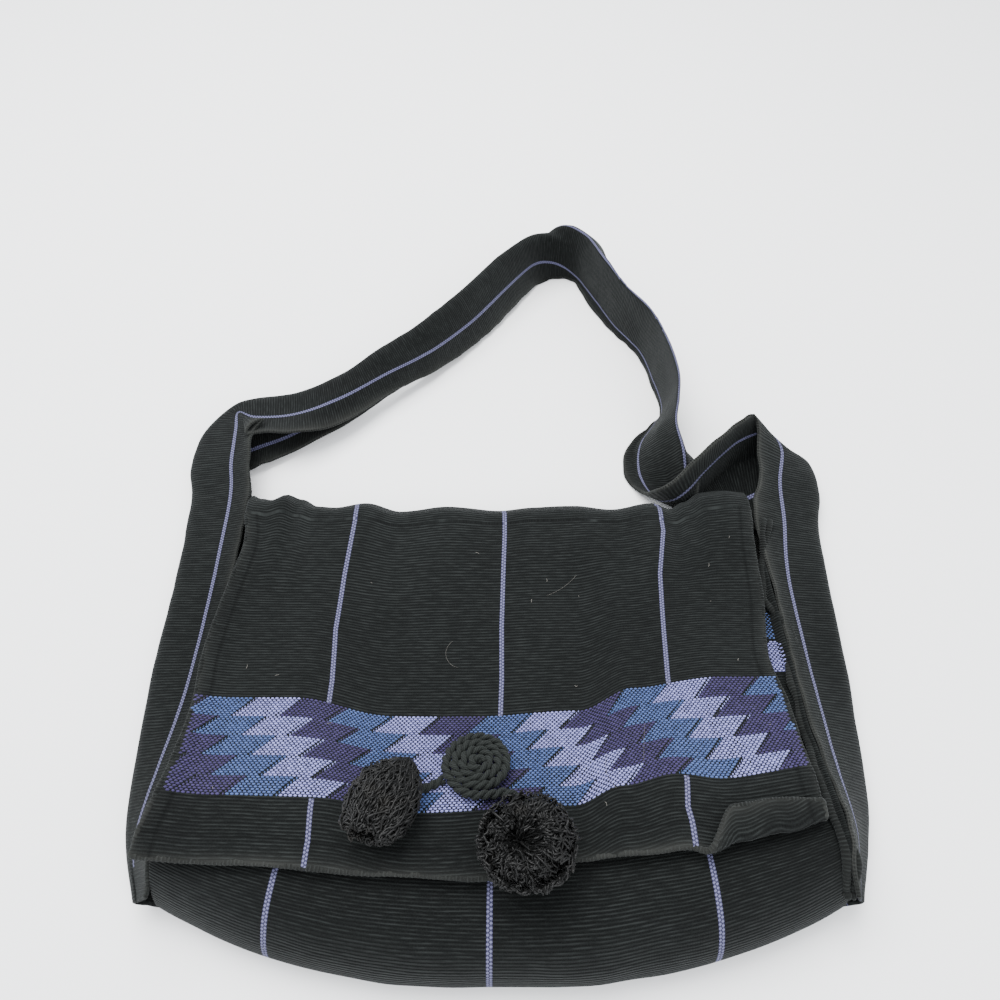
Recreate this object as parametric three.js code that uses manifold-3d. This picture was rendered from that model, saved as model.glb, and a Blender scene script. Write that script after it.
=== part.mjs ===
// Woven shoulder bag lying on its back with the flap closed. Millimetres, +Z up.
// X runs across the bag, Y from its bottom edge toward the strap, Z up from the table.
import * as THREE from 'three';
import { mergeVertices } from 'three/addons/utils/BufferGeometryUtils.js';
import Module from 'manifold-3d';

// Body: one strip of ribbed cloth.
const bodyWide = 336; // seam to seam
const bodyLong = 264; // bottom edge to top fold
const bodyDeep = 38; // height of the front panel at its fullest
const bodyCloth = 2; // wall
const bottomSag = 34; // how far the bottom edge bows out beyond its corners
const bottomBow = 2.4; // power of that bow
const flapLong = 206; // top fold to the line of the hem
const hemTurn = 12; // width of the hem, which flips up at the right corner
const hemBend = 2.2; // radius of the flipped corner's fold
const ridgeRise = 6; // seam ridge standing on the right side of the front panel
const flapOverSeam = 5; // how far the flap's left edge rides up over the seam
const topWave = 9; // how far the top fold wanders

// Band: side gussets and shoulder strap in one length.
const bandWide = 90;
const bandCloth = 2;
const bandMargin = 20; // selvedge to woven stripe
const foldRadius = 3.6; // the soft fold along the middle of the band
const foldLean = 0.35; // how far an opened fold leans toward its face
const foldSettle = 0.1; // how far a closed fold's hollow follows the run
const strapReach = 276; // top fold to the far end of the strap
const seamGap = 2; // between the band's sewn edges and the panels' edges
const seamDrop = 1; // the band's edge below the top of the front panel's ridge
const backSeam = 2.2; // height of the band's lower edge, beside the back panel

// Button, cords and tassels.
// x, y and turn: place and bearing on the flap; lift: more room over the flap's ripples.
const button = { wide: 40, rise: 9, x: -11, y: 93, turn: -62, lift: 1.1 };
const cordThick = 4.4;
const tailReach = 15; // the button's cord runs on from its edge toward the right tassel
const neckLong = 7; // cord from the left tassel's head to the button
const coilGroove = 1.1; // depth of the groove between turns
const layGap = 0.6; // between things that lie on each other
const leftTassel = { long: 46, wide: 39, thick: 22, x: -47, y: 94, turn: 247, lift: 0.2 };
const rightTassel = { long: 48, wide: 47, thick: 27, x: 14, y: 50, turn: 270, lift: -1.1 };
const lockThick = 6.2;

const halfBody = bodyWide / 2;
const halfBand = bandWide / 2;
const stripeOff = halfBand - bandMargin; // middle of the band to its stripe
const backMid = bodyCloth / 2;

// Rows along the strip. along: share of bodyLong from the bottom edge, or of flapLong back
// from the top fold for the flap; rise: share of bodyDeep; bow: share of the bottom bow;
// left and right: shares of half the body; ridge: share of the seam ridge.
const panelRows = [
  { at: 'front hem', along: 0.88, rise: 0.31, bow: 0, left: -1, right: 1, ridge: 0.5 },
  { at: 'front mouth', along: 0.77, rise: 0.33, bow: 0, left: -1, right: 1, ridge: 1 },
  { at: 'front upper', along: 0.64, rise: 0.35, bow: 0, left: -1, right: 1, ridge: 1 },
  { at: 'front middle', along: 0.46, rise: 0.47, bow: 0.05, left: -1, right: 1, ridge: 1 },
  { at: 'front swell', along: 0.3, rise: 0.74, bow: 0.3, left: -1, right: 1, ridge: 1 },
  { at: 'front lower', along: 0.19, rise: 0.9, bow: 0.6, left: -1, right: 1, ridge: 1 },
  { at: 'front full', along: 0.114, rise: 0.94, bow: 0.8, left: -1, right: 1, ridge: 0.9 },
  { at: 'bottom brow', along: 0.057, rise: 0.86, bow: 0.95, left: -1, right: 1, ridge: 0.6 },
  { at: 'bottom front', along: 0.02, rise: 0.66, bow: 1, left: -1, right: 1, ridge: 0.2 },
  { at: 'bottom edge', along: 0.004, rise: 0.42, bow: 1, left: -1, right: 1, ridge: 0 },
  { at: 'bottom tuck', along: 0.004, rise: 0.22, bow: 1, left: -1, right: 1, ridge: 0 },
  { at: 'bottom under', along: 0.022, rise: 0.07, bow: 1, left: -1, right: 1, ridge: 0 },
  { at: 'back lower', along: 0.06, rise: 0, bow: 0.95, left: -1, right: 1, ridge: 0 },
  { at: 'back low', along: 0.19, rise: 0, bow: 0.5, left: -1, right: 1, ridge: 0 },
  { at: 'back middle', along: 0.45, rise: 0, bow: 0, left: -1, right: 1, ridge: 0 },
  { at: 'back upper', along: 0.72, rise: 0, bow: 0, left: -1, right: 1, ridge: 0 },
  { at: 'back top', along: 0.915, rise: 0, bow: 0, left: -1, right: 0.99, ridge: 0 },
  { at: 'top under', along: 0.967, rise: 0.06, bow: 0, left: -0.99, right: 0.98, ridge: 0 },
  { at: 'top outer', along: 0.996, rise: 0.22, bow: 0, left: -0.98, right: 0.975, ridge: 0 },
  { at: 'top fold', along: 1, rise: 0.4, bow: 0, left: -0.98, right: 0.97, ridge: 0 },
  { at: 'top over', along: 0.982, rise: 0.55, bow: 0, left: -0.98, right: 0.97, ridge: 0 },
];
const flapRows = [
  { at: 'flap top', along: 0.075, rise: 0.62, left: -0.975, right: 0.965, hem: 0 },
  { at: 'flap shoulder', along: 0.16, rise: 0.63, left: -0.955, right: 0.952, hem: 0 },
  { at: 'flap upper', along: 0.32, rise: 0.6, left: -0.985, right: 0.955, hem: 0 },
  { at: 'flap waist', along: 0.5, rise: 0.62, left: -1, right: 0.945, hem: 0.05 },
  { at: 'flap middle', along: 0.66, rise: 0.7, left: -1.015, right: 0.953, hem: 0.3 },
  { at: 'flap swell', along: 0.8, rise: 0.88, left: -1.03, right: 0.94, hem: 0.6 },
  { at: 'flap lower', along: 0.91, rise: 1.06, left: -1.04, right: 0.94, hem: 0.9 },
  { at: 'hem line', along: 1, rise: 1.11, left: -1.043, right: 0.935, hem: 1 },
];
// How the hem line wanders. x: share of half the body; drop: toward the bottom edge, and
// hem: cloth beyond the line, both shares of hemTurn; flip: how much of that cloth is
// folded back over the flap.
const hemWander = [
  { x: -1.05, drop: -0.25, hem: 1, flip: 0 },
  { x: -0.76, drop: -0.15, hem: 1, flip: 0 },
  { x: -0.33, drop: 0.25, hem: 1, flip: 0 },
  { x: -0.06, drop: 0.45, hem: 1, flip: 0 },
  { x: 0.176, drop: -0.25, hem: 1, flip: 0 },
  { x: 0.4, drop: -0.5, hem: 1, flip: 0 },
  { x: 0.54, drop: -0.7, hem: 1, flip: 0 },
  { x: 0.68, drop: -0.15, hem: 1.6, flip: 1 },
  { x: 0.81, drop: -0.5, hem: 1.5, flip: 1 },
  { x: 0.95, drop: -0.95, hem: 1, flip: 1 },
];
// How the top fold wanders. x: share of half the body; out: share of topWave, away from
// the bottom edge.
const topWander = [
  { x: -1, out: 1 },
  { x: -0.9, out: 1.1 },
  { x: -0.83, out: 0.55 },
  { x: -0.72, out: 0.9 },
  { x: -0.5, out: 0.45 },
  { x: -0.2, out: 0.2 },
  { x: 0.05, out: 0.1 },
  { x: 0.3, out: 0.3 },
  { x: 0.55, out: 0.45 },
  { x: 0.68, out: 0.15 },
  { x: 0.8, out: 0.8 },
  { x: 1, out: 1.15 },
];
// Soft folds and dents of the flap. x: share of half the body; back: share of flapLong from
// the top fold; wide and long: the same shares; rise: share of bodyDeep.
const flapDents = [
  { at: 'top left corner', x: -0.9, back: 0.02, wide: 0.12, long: 0.1, rise: 0.12 },
  { at: 'corner notch', x: -0.8, back: 0.03, wide: 0.03, long: 0.12, rise: -0.13 },
  { at: 'left hump', x: -0.62, back: 0.06, wide: 0.12, long: 0.16, rise: 0.05 },
  { at: 'left slack', x: -0.42, back: 0.3, wide: 0.16, long: 0.3, rise: -0.05 },
  { at: 'middle swell', x: 0.1, back: 0.3, wide: 0.3, long: 0.22, rise: 0.05 },
  { at: 'right stripe fold', x: 0.56, back: 0.3, wide: 0.07, long: 0.5, rise: 0.05 },
  { at: 'right corner', x: 0.88, back: 0.06, wide: 0.1, long: 0.14, rise: 0.1 },
  { at: 'band ripple low', x: -0.15, back: 0.88, wide: 0.14, long: 0.12, rise: 0.04 },
  { at: 'band ripple high', x: 0.45, back: 0.72, wide: 0.14, long: 0.14, rise: 0.05 },
];

// Sections of the gussets, from the bottom corner to the mouth. along: share of bodyLong;
// out and rise: how far the outer fold lies beyond the seam and above the table, in shares
// of half the band.
const leftGusset = [
  { at: 'left end', along: 0.135, out: 0.2, rise: 0.33 },
  { at: 'left low', along: 0.24, out: 0.5, rise: 0.24 },
  { at: 'left turn', along: 0.36, out: 0.64, rise: 0.2 },
  { at: 'left middle', along: 0.56, out: 0.75, rise: 0.18 },
  { at: 'left upper', along: 0.83, out: 0.81, rise: 0.18 },
];
const rightGusset = [
  { at: 'right upper', along: 0.82, out: 0.84, rise: 0.18 },
  { at: 'right middle', along: 0.54, out: 0.72, rise: 0.18 },
  { at: 'right turn', along: 0.367, out: 0.6, rise: 0.2 },
  { at: 'right low', along: 0.24, out: 0.42, rise: 0.24 },
  { at: 'right end', along: 0.135, out: 0.17, rise: 0.33 },
];
// Sections of the strap between the gussets, in order. x: share of half the body, and past
// 1 the rest in shares of half the band; y: shares of bodyLong, and past 1 the rest in
// shares of strapReach; z: share of half the band. The a and b columns lead from the
// middle of the band to its upper and its lower stripe, in shares of that distance. aTurn
// and bTurn turn the margins beyond the stripes toward the inside of the fold, in degrees;
// aKeep is the share of the upper margin that isn't rolled under.
const strapRows = [
  { at: 'left mouth', x: -1.93, y: 1.058, z: 0.18,
    ax: 0.96, ay: 0.02, az: 0.29, bx: 0.82, by: -0.09, bz: -0.13, aTurn: 0, aKeep: 1, bTurn: 0 },
  { at: 'left neck', x: -2.07, y: 1.165, z: 0.22,
    ax: 1.02, ay: -0.13, az: 0.36, bx: 0.9, by: -0.22, bz: -0.16, aTurn: 0, aKeep: 1, bTurn: 0 },
  { at: 'left bend', x: -1.98, y: 1.272, z: 0.31,
    ax: 0.93, ay: -0.42, az: 0.33, bx: 0.77, by: -0.62, bz: -0.25, aTurn: 0, aKeep: 1, bTurn: 0 },
  { at: 'left mitre', x: -1.58, y: 1.345, z: 0.42,
    ax: 0.55, ay: -0.74, az: 0.22, bx: 0.42, by: -0.95, bz: -0.37, aTurn: 0, aKeep: 1, bTurn: 0 },
  { at: 'left lead', x: -1.24, y: 1.372, z: 0.46,
    ax: 0.34, ay: -0.84, az: 0.16, bx: 0.22, by: -1.02, bz: -0.4, aTurn: 0, aKeep: 1, bTurn: 0 },
  { at: 'left run', x: -0.893, y: 1.385, z: 0.49,
    ax: 0.12, ay: -0.78, az: 0.07, bx: -0.06, by: -0.78, bz: -0.43, aTurn: 0, aKeep: 1, bTurn: 0 },
  { at: 'left dip', x: -0.726, y: 1.425, z: 0.6,
    ax: 0.2, ay: -0.66, az: -0.05, bx: 0.2, by: -0.56, bz: -0.5, aTurn: 35, aKeep: 1, bTurn: 20 },
  { at: 'left rise', x: -0.571, y: 1.49, z: 0.76,
    ax: 0.38, ay: -0.52, az: -0.32, bx: 0.2, by: -0.3, bz: -0.68, aTurn: 40, aKeep: 1, bTurn: 10 },
  { at: 'left slope', x: -0.363, y: 1.594, z: 0.86,
    ax: 0.42, ay: -0.4, az: -0.62, bx: 0.3, by: -0.06, bz: -0.78, aTurn: 25, aKeep: 1, bTurn: 0 },
  { at: 'left climb', x: -0.179, y: 1.717, z: 0.92,
    ax: 0.44, ay: -0.22, az: -0.8, bx: 0.12, by: 0.25, bz: -0.85, aTurn: 12, aKeep: 1, bTurn: 0 },
  { at: 'left crown', x: 0.012, y: 1.873, z: 0.97,
    ax: 0.34, ay: -0.2, az: -0.86, bx: 0.02, by: 0.22, bz: -0.9, aTurn: 5, aKeep: 1, bTurn: 0 },
  { at: 'apex left', x: 0.161, y: 1.965, z: 0.96,
    ax: 0.14, ay: -0.16, az: -0.93, bx: 0.1, by: 0.34, bz: -0.7, aTurn: 0, aKeep: 1, bTurn: 25 },
  { at: 'apex', x: 0.285, y: 1.985, z: 0.82,
    ax: 0.07, ay: -0.1, az: -0.9, bx: 0.12, by: 0.42, bz: 0.2, aTurn: 0, aKeep: 1, bTurn: 80 },
  { at: 'apex right', x: 0.405, y: 1.955, z: 0.6,
    ax: 0.0, ay: -0.04, az: -0.88, bx: 0.12, by: 0.12, bz: 0.74, aTurn: -15, aKeep: 0.7, bTurn: 105 },
  { at: 'right crown', x: 0.494, y: 1.844, z: 0.56,
    ax: -0.06, ay: 0.0, az: -0.84, bx: 0.06, by: -0.02, bz: 0.88, aTurn: -45, aKeep: 0.62, bTurn: 125 },
  { at: 'right shoulder', x: 0.577, y: 1.728, z: 0.56,
    ax: -0.08, ay: 0.02, az: -0.82, bx: 0.06, by: -0.03, bz: 0.86, aTurn: -30, aKeep: 0.5, bTurn: 130 },
  { at: 'right slope', x: 0.679, y: 1.616, z: 0.56,
    ax: -0.08, ay: 0.02, az: -0.8, bx: 0.06, by: -0.03, bz: 0.86, aTurn: -15, aKeep: 0.45, bTurn: 130 },
  { at: 'right fall', x: 0.726, y: 1.496, z: 0.56,
    ax: -0.1, ay: 0.02, az: -0.78, bx: 0.08, by: -0.02, bz: 0.84, aTurn: -5, aKeep: 0.45, bTurn: 130 },
  { at: 'right foot', x: 0.744, y: 1.388, z: 0.55,
    ax: -0.18, ay: 0.02, az: -0.74, bx: 0.14, by: 0, bz: 0.8, aTurn: 0, aKeep: 0.5, bTurn: 120 },
  { at: 'loop in', x: 0.714, y: 1.315, z: 0.54,
    ax: -0.32, ay: 0.08, az: -0.7, bx: 0.26, by: -0.06, bz: 0.72, aTurn: -8, aKeep: 0.7, bTurn: 105 },
  { at: 'loop side', x: 0.665, y: 1.246, z: 0.5,
    ax: -0.45, ay: 0.12, az: -0.66, bx: 0.42, by: -0.12, bz: 0.64, aTurn: -10, aKeep: 0.75, bTurn: 95 },
  { at: 'loop low', x: 0.675, y: 1.165, z: 0.38,
    ax: -0.56, ay: 0.08, az: -0.52, bx: 0.46, by: -0.04, bz: 0.54, aTurn: -5, aKeep: 0.85, bTurn: 70 },
  { at: 'loop crease', x: 0.725, y: 1.062, z: 0.13,
    ax: -0.74, ay: 0.38, az: 0.03, bx: 0.25, by: 0.02, bz: 0.2, aTurn: 0, aKeep: 1, bTurn: 10 },
  { at: 'loop out', x: 0.755, y: 1.05, z: 0.08,
    ax: -0.52, ay: 0.14, az: 0.56, bx: 0.3, by: -0.04, bz: 0.08, aTurn: 0, aKeep: 1, bTurn: 0 },
  { at: 'return low', x: 0.795, y: 1.06, z: 0.08,
    ax: -0.34, ay: 0.16, az: 0.74, bx: 0.38, by: -0.18, bz: 0.02, aTurn: 0, aKeep: 1, bTurn: 0 },
  { at: 'return rise', x: 0.839, y: 1.108, z: 0.09,
    ax: -0.13, ay: 0.22, az: 0.89, bx: 0.38, by: -0.4, bz: 0.0, aTurn: 0, aKeep: 1, bTurn: 0 },
  { at: 'return high', x: 0.952, y: 1.178, z: 0.12,
    ax: 0.04, ay: 0.24, az: 0.92, bx: 0.1, by: -0.78, bz: 0.0, aTurn: 0, aKeep: 1, bTurn: 0 },
  { at: 'right turn', x: 1.49, y: 1.203, z: 0.36,
    ax: -0.44, ay: 0.18, az: 0.66, bx: -0.13, by: -0.86, bz: -0.2, aTurn: 0, aKeep: 1, bTurn: 0 },
  { at: 'right crease', x: 1.84, y: 1.199, z: 0.27,
    ax: -0.7, ay: 0.18, az: 0.72, bx: -0.22, by: -0.82, bz: -0.17, aTurn: 0, aKeep: 1, bTurn: 0 },
  { at: 'right bend', x: 2.11, y: 1.178, z: 0.2,
    ax: -0.94, ay: 0.04, az: 0.6, bx: -0.74, by: -0.55, bz: -0.15, aTurn: 0, aKeep: 1, bTurn: 0 },
  { at: 'right neck', x: 2.13, y: 1.098, z: 0.18,
    ax: -1.02, ay: 0.0, az: 0.45, bx: -0.96, by: -0.28, bz: -0.13, aTurn: 0, aKeep: 1, bTurn: 0 },
  { at: 'right mouth', x: 1.98, y: 0.985, z: 0.18,
    ax: -0.99, ay: 0.1, az: 0.31, bx: -0.9, by: -0.02, bz: -0.13, aTurn: 0, aKeep: 1, bTurn: 0 },
];

const bodyAcross = 19; // cells across the body
const panelSteps = 24;
const flapSteps = 10;
const bandSteps = 76; // cells along the band
const hemSteps = [0.14, 0.27, 0.4, 0.6, 0.8, 1]; // shares of the hem's cloth
const ridgeCell = 0.012; // share of half the body that the seam ridge takes
const flapEdgeLift = 0.86; // share of half the body where the flap starts to ride up
const tableGap = 0.1; // between the band and the table

// Uniform Catmull-Rom curve through the values, read at u from 0 to 1.
function smoothRead(values, u) {
  const last = values.length - 1;
  const place = Math.min(Math.max(u, 0), 1) * last;
  const cell = Math.min(Math.floor(place), last - 1);
  const t = place - cell;
  const b = values[cell];
  const c = values[cell + 1];
  const a = cell > 0 ? values[cell - 1] : 2 * b - c;
  const d = cell + 2 <= last ? values[cell + 2] : 2 * c - b;
  const slope = (c - a) / 2;
  const bend = a - 2.5 * b + 2 * c - d / 2;
  const twist = (d - a) / 2 + 1.5 * (b - c);
  return b + t * (slope + t * (bend + t * twist));
}

// One row read between the rows of a table.
function readTable(rows, u) {
  const row = {};
  for (const key of Object.keys(rows[0])) {
    if (key !== 'at') {
      row[key] = smoothRead(rows.map((r) => r[key]), u);
    }
  }
  return row;
}

// An eased step from row to row of a table sorted by its x column.
function readByX(rows, x, key) {
  let k = 0;
  while (k < rows.length - 2 && x > rows[k + 1].x) {
    k += 1;
  }
  const span = rows[k + 1].x - rows[k].x;
  const t = Math.min(Math.max((x - rows[k].x) / span, 0), 1);
  const ease = t * t * (3 - 2 * t);
  return rows[k][key] + (rows[k + 1][key] - rows[k][key]) * ease;
}

// Sum of the dents at a place of the flap, each a bell exp(-dx^2 - dy^2).
function dentAt(x, back) {
  let sum = 0;
  for (const dent of flapDents) {
    const dx = (x - dent.x) / dent.wide;
    const dy = (back - dent.back) / dent.long;
    sum += dent.rise * Math.exp(-dx * dx - dy * dy);
  }
  return sum;
}

// A closed wall of even thickness about a grid of points: each point moves half the wall
// both ways along the normal there, and the rim joins the two skins.
function wallAbout(grid, thick) {
  const rows = grid.length;
  const cols = grid[0].length;
  const at = (i, j) => grid[Math.min(Math.max(i, 0), rows - 1)][Math.min(Math.max(j, 0), cols - 1)];
  const upper = [];
  const lower = [];
  for (let i = 0; i < rows; i += 1) {
    for (let j = 0; j < cols; j += 1) {
      const along = at(i + 1, j).clone().sub(at(i - 1, j));
      const across = at(i, j + 1).clone().sub(at(i, j - 1));
      const normal = across.cross(along).normalize().multiplyScalar(thick / 2);
      upper.push(at(i, j).clone().add(normal));
      lower.push(at(i, j).clone().sub(normal));
    }
  }
  const points = upper.concat(lower);
  const under = rows * cols;
  const index = [];
  for (let i = 0; i < rows - 1; i += 1) {
    for (let j = 0; j < cols - 1; j += 1) {
      const a = i * cols + j;
      const b = a + 1;
      const c = a + cols;
      const d = c + 1;
      index.push(a, b, d, a, d, c);
      index.push(under + a, under + d, under + b, under + a, under + c, under + d);
    }
  }
  const rim = [];
  for (let j = 0; j < cols; j += 1) {
    rim.push(j);
  }
  for (let i = 1; i < rows; i += 1) {
    rim.push(i * cols + cols - 1);
  }
  for (let j = cols - 2; j >= 0; j -= 1) {
    rim.push((rows - 1) * cols + j);
  }
  for (let i = rows - 2; i >= 1; i -= 1) {
    rim.push(i * cols);
  }
  for (let k = 0; k < rim.length; k += 1) {
    const p = rim[k];
    const q = rim[(k + 1) % rim.length];
    index.push(p, under + p, under + q, p, under + q, q);
  }
  const geometry = new THREE.BufferGeometry();
  const flat = points.flatMap((p) => [p.x, p.y, p.z]);
  geometry.setAttribute('position', new THREE.Float32BufferAttribute(flat, 3));
  geometry.setIndex(index);
  return geometry;
}

// Where the bottom edge bows out: 0 in the middle, bottomSag at the corners.
function bowAt(x) {
  return bottomSag * Math.pow(Math.min(Math.abs(x) / halfBody, 1.1), bottomBow);
}

// A point of the panels' middle surface. c runs from -1 at the left edge to 1.
function panelPoint(u, c) {
  const row = readTable(panelRows, u);
  const share = row.left + (row.right - row.left) * (c + 1) / 2;
  const x = halfBody * share;
  const back = (1 - row.along) * bodyLong / flapLong;
  const top = Math.max(0, (row.rise - 0.1) / 0.45) * (row.along > 0.9 ? 1 : 0);
  const rise = Math.max(row.rise, 0) + dentAt(share, back) * Math.min(top, 1);
  const edge = c > 1 - ridgeCell ? row.ridge * ridgeRise : 0;
  const crest = Math.min(Math.max((row.along - 0.9) / 0.09, 0), 1);
  const wander = crest * topWave * readByX(topWander, share, 'out');
  const y = bodyLong * row.along + row.bow * bowAt(x) + wander;
  return new THREE.Vector3(x, y, backMid + bodyDeep * rise + edge);
}

// A point of the flap's middle surface, u from the top fold to the hem line.
function flapPoint(u, c) {
  const row = readTable(flapRows, u);
  const share = row.left + (row.right - row.left) * (c + 1) / 2;
  const x = halfBody * share;
  const drop = row.hem * hemTurn * readByX(hemWander, share, 'drop');
  const over = Math.max(0, (-share - flapEdgeLift) / (1 - flapEdgeLift));
  const lift = flapOverSeam * Math.min(over * over, 1.3) * Math.min(row.along * 4, 1);
  const z = backMid + bodyDeep * (row.rise + dentAt(share, row.along)) + lift;
  const crest = Math.max(1 - row.along / 0.3, 0);
  const wander = crest * topWave * readByX(topWander, share, 'out');
  return new THREE.Vector3(x, bodyLong - flapLong * row.along - drop + wander, z);
}

// The flap's hem beyond its line: it runs on, and at the right corner folds back over the
// flap on the radius hemBend.
function hemPoint(s, c) {
  const line = flapPoint(1, c);
  const before = flapPoint(0.97, c);
  const ahead = line.clone().sub(before).setX(0).normalize();
  const up = new THREE.Vector3(0, ahead.z, -ahead.y);
  const share = line.x / halfBody;
  const cloth = hemTurn * readByX(hemWander, share, 'hem');
  const flat = cloth * (1 - readByX(hemWander, share, 'flip'));
  const run = Math.max(cloth * s - flat, 0);
  const turn = Math.min(run / hemBend, Math.PI);
  const rest = run - turn * hemBend;
  return line
    .addScaledVector(ahead, Math.min(cloth * s, flat) + hemBend * Math.sin(turn) - rest)
    .addScaledVector(up, hemBend * (1 - Math.cos(turn)));
}

// Places across the body: even cells, with a narrow one at each edge for the seam ridge.
function bodyColumns() {
  const columns = [-1, ridgeCell - 1];
  for (let k = 1; k < bodyAcross; k += 1) {
    columns.push(-1 + 2 * k / bodyAcross);
  }
  columns.push(1 - 2 * ridgeCell, 1);
  return columns;
}

function bodyGeometry() {
  const columns = bodyColumns();
  const grid = [];
  for (let i = 0; i <= panelSteps; i += 1) {
    grid.push(columns.map((c) => panelPoint(i / panelSteps, c)));
  }
  for (let i = 0; i <= flapSteps; i += 1) {
    grid.push(columns.map((c) => flapPoint(i / flapSteps, c)));
  }
  for (const s of hemSteps) {
    grid.push(columns.map((c) => hemPoint(s, c)));
  }
  return wallAbout(grid, bodyCloth);
}

// Height of the front panel's middle surface at a share of bodyLong.
function frontHeight(along, x) {
  let best = panelPoint(0, 0);
  for (let k = 0; k <= 40; k += 1) {
    const p = panelPoint(k / 40 * 8 / (panelRows.length - 1), x / halfBody);
    if (Math.abs(p.y - along * bodyLong) < Math.abs(best.y - along * bodyLong)) {
      best = p;
    }
  }
  return best.z;
}

// A gusset's section: the outer fold from the table, its edges beside the panels' edges.
function gussetSection(row, side) {
  const seamX = side * (halfBody + seamGap);
  const ridge = side > 0 ? ridgeRise - seamDrop : 0;
  const foldX = seamX + side * halfBand * row.out;
  const middle = new THREE.Vector3(foldX, bodyLong * row.along, halfBand * row.rise);
  const top = frontHeight(row.along, side * halfBody * 0.97) + ridge;
  const a = new THREE.Vector3(seamX, middle.y, top);
  const b = new THREE.Vector3(seamX, middle.y, backSeam);
  const share = stripeOff / halfBand;
  return {
    middle,
    a: a.sub(middle).multiplyScalar(share),
    b: b.sub(middle).multiplyScalar(share),
    aMargin: (1 - share) / share,
    bMargin: (1 - share) / share,
    aTurn: 0,
    bTurn: 0,
  };
}

// A strap section from its row.
function strapSection(row) {
  const beyond = Math.max(Math.abs(row.x) - 1, 0);
  const x = Math.sign(row.x) * (halfBody * Math.min(Math.abs(row.x), 1) + halfBand * beyond);
  const y = bodyLong * Math.min(row.y, 1) + strapReach * Math.max(row.y - 1, 0);
  return {
    middle: new THREE.Vector3(x, y, halfBand * row.z),
    a: new THREE.Vector3(row.ax, row.ay, row.az).multiplyScalar(stripeOff),
    b: new THREE.Vector3(row.bx, row.by, row.bz).multiplyScalar(stripeOff),
    aMargin: row.aKeep * bandMargin / stripeOff,
    bMargin: bandMargin / stripeOff,
    aTurn: row.aTurn,
    bTurn: row.bTurn,
  };
}

function bandSections() {
  return [
    ...leftGusset.map((row) => gussetSection(row, -1)),
    ...strapRows.map(strapSection),
    ...rightGusset.map((row) => gussetSection(row, 1)),
  ];
}

// One vector read between the sections.
function readVector(sections, key, u) {
  return new THREE.Vector3(
    smoothRead(sections.map((s) => s[key].x), u),
    smoothRead(sections.map((s) => s[key].y), u),
    smoothRead(sections.map((s) => s[key].z), u),
  );
}

// The points across the band at u: edge, margin, stripe, leg, round the fold, and back out.
function bandLine(sections, u) {
  const step = 0.004;
  const middle = readVector(sections, 'middle', u);
  const ahead = readVector(sections, 'middle', Math.min(u + step, 1));
  ahead.sub(readVector(sections, 'middle', Math.max(u - step, 0))).normalize();
  const a = readVector(sections, 'a', u);
  const b = readVector(sections, 'b', u);
  const aWay = a.clone().normalize();
  const bWay = b.clone().normalize();
  const inward = aWay.clone().add(bWay);
  const spread = aWay.clone().sub(bWay);
  const side = spread.clone().addScaledVector(inward.clone().cross(ahead), foldLean).normalize();
  const into = inward.clone().addScaledVector(ahead.clone().cross(spread), foldSettle).normalize();
  const closed = Math.min(inward.length() / 2, 1);
  const base = middle.clone().addScaledVector(into, foldRadius * closed);
  const aBase = base.clone().addScaledVector(side, foldRadius);
  const bBase = base.clone().addScaledVector(side, -foldRadius);
  const aStripe = middle.clone().add(a);
  const bStripe = middle.clone().add(b);
  const aTurn = smoothRead(sections.map((s) => s.aTurn), u);
  const bTurn = smoothRead(sections.map((s) => s.bTurn), u);
  const aOut = a.clone().applyAxisAngle(ahead, THREE.MathUtils.degToRad(aTurn));
  const bOut = b.clone().applyAxisAngle(ahead, -THREE.MathUtils.degToRad(bTurn));
  const aMargin = smoothRead(sections.map((s) => s.aMargin), u);
  const bMargin = smoothRead(sections.map((s) => s.bMargin), u);
  const line = [
    aStripe.clone().addScaledVector(aOut, aMargin),
    aStripe.clone().addScaledVector(aOut, aMargin / 2),
    aStripe,
    aStripe.clone().lerp(aBase, 0.5),
    aBase,
    middle,
    bBase,
    bStripe.clone().lerp(bBase, 0.5),
    bStripe,
    bStripe.clone().addScaledVector(bOut, bMargin / 2),
    bStripe.clone().addScaledVector(bOut, bMargin),
  ];
  for (const p of line) {
    p.z = Math.max(p.z, bandCloth / 2 + tableGap);
  }
  return line;
}

function bandGeometry() {
  const sections = bandSections();
  const grid = [];
  for (let i = 0; i <= bandSteps; i += 1) {
    grid.push(bandLine(sections, i / bandSteps).reverse());
  }
  return wallAbout(grid, bandCloth);
}

// The flap's upper face under a place, and its slope along Y.
function flapUnder(y) {
  const read = (u) => flapPoint(u, 0);
  let low = 0;
  let high = 1;
  for (let k = 0; k < 30; k += 1) {
    const mid = (low + high) / 2;
    if (read(mid).y > y) {
      low = mid;
    } else {
      high = mid;
    }
  }
  const here = read(low);
  const near = read(Math.max(low - 0.06, 0));
  const slope = (near.z - here.z) / (near.y - here.y);
  return { z: here.z + bodyCloth / 2, slope };
}

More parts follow.
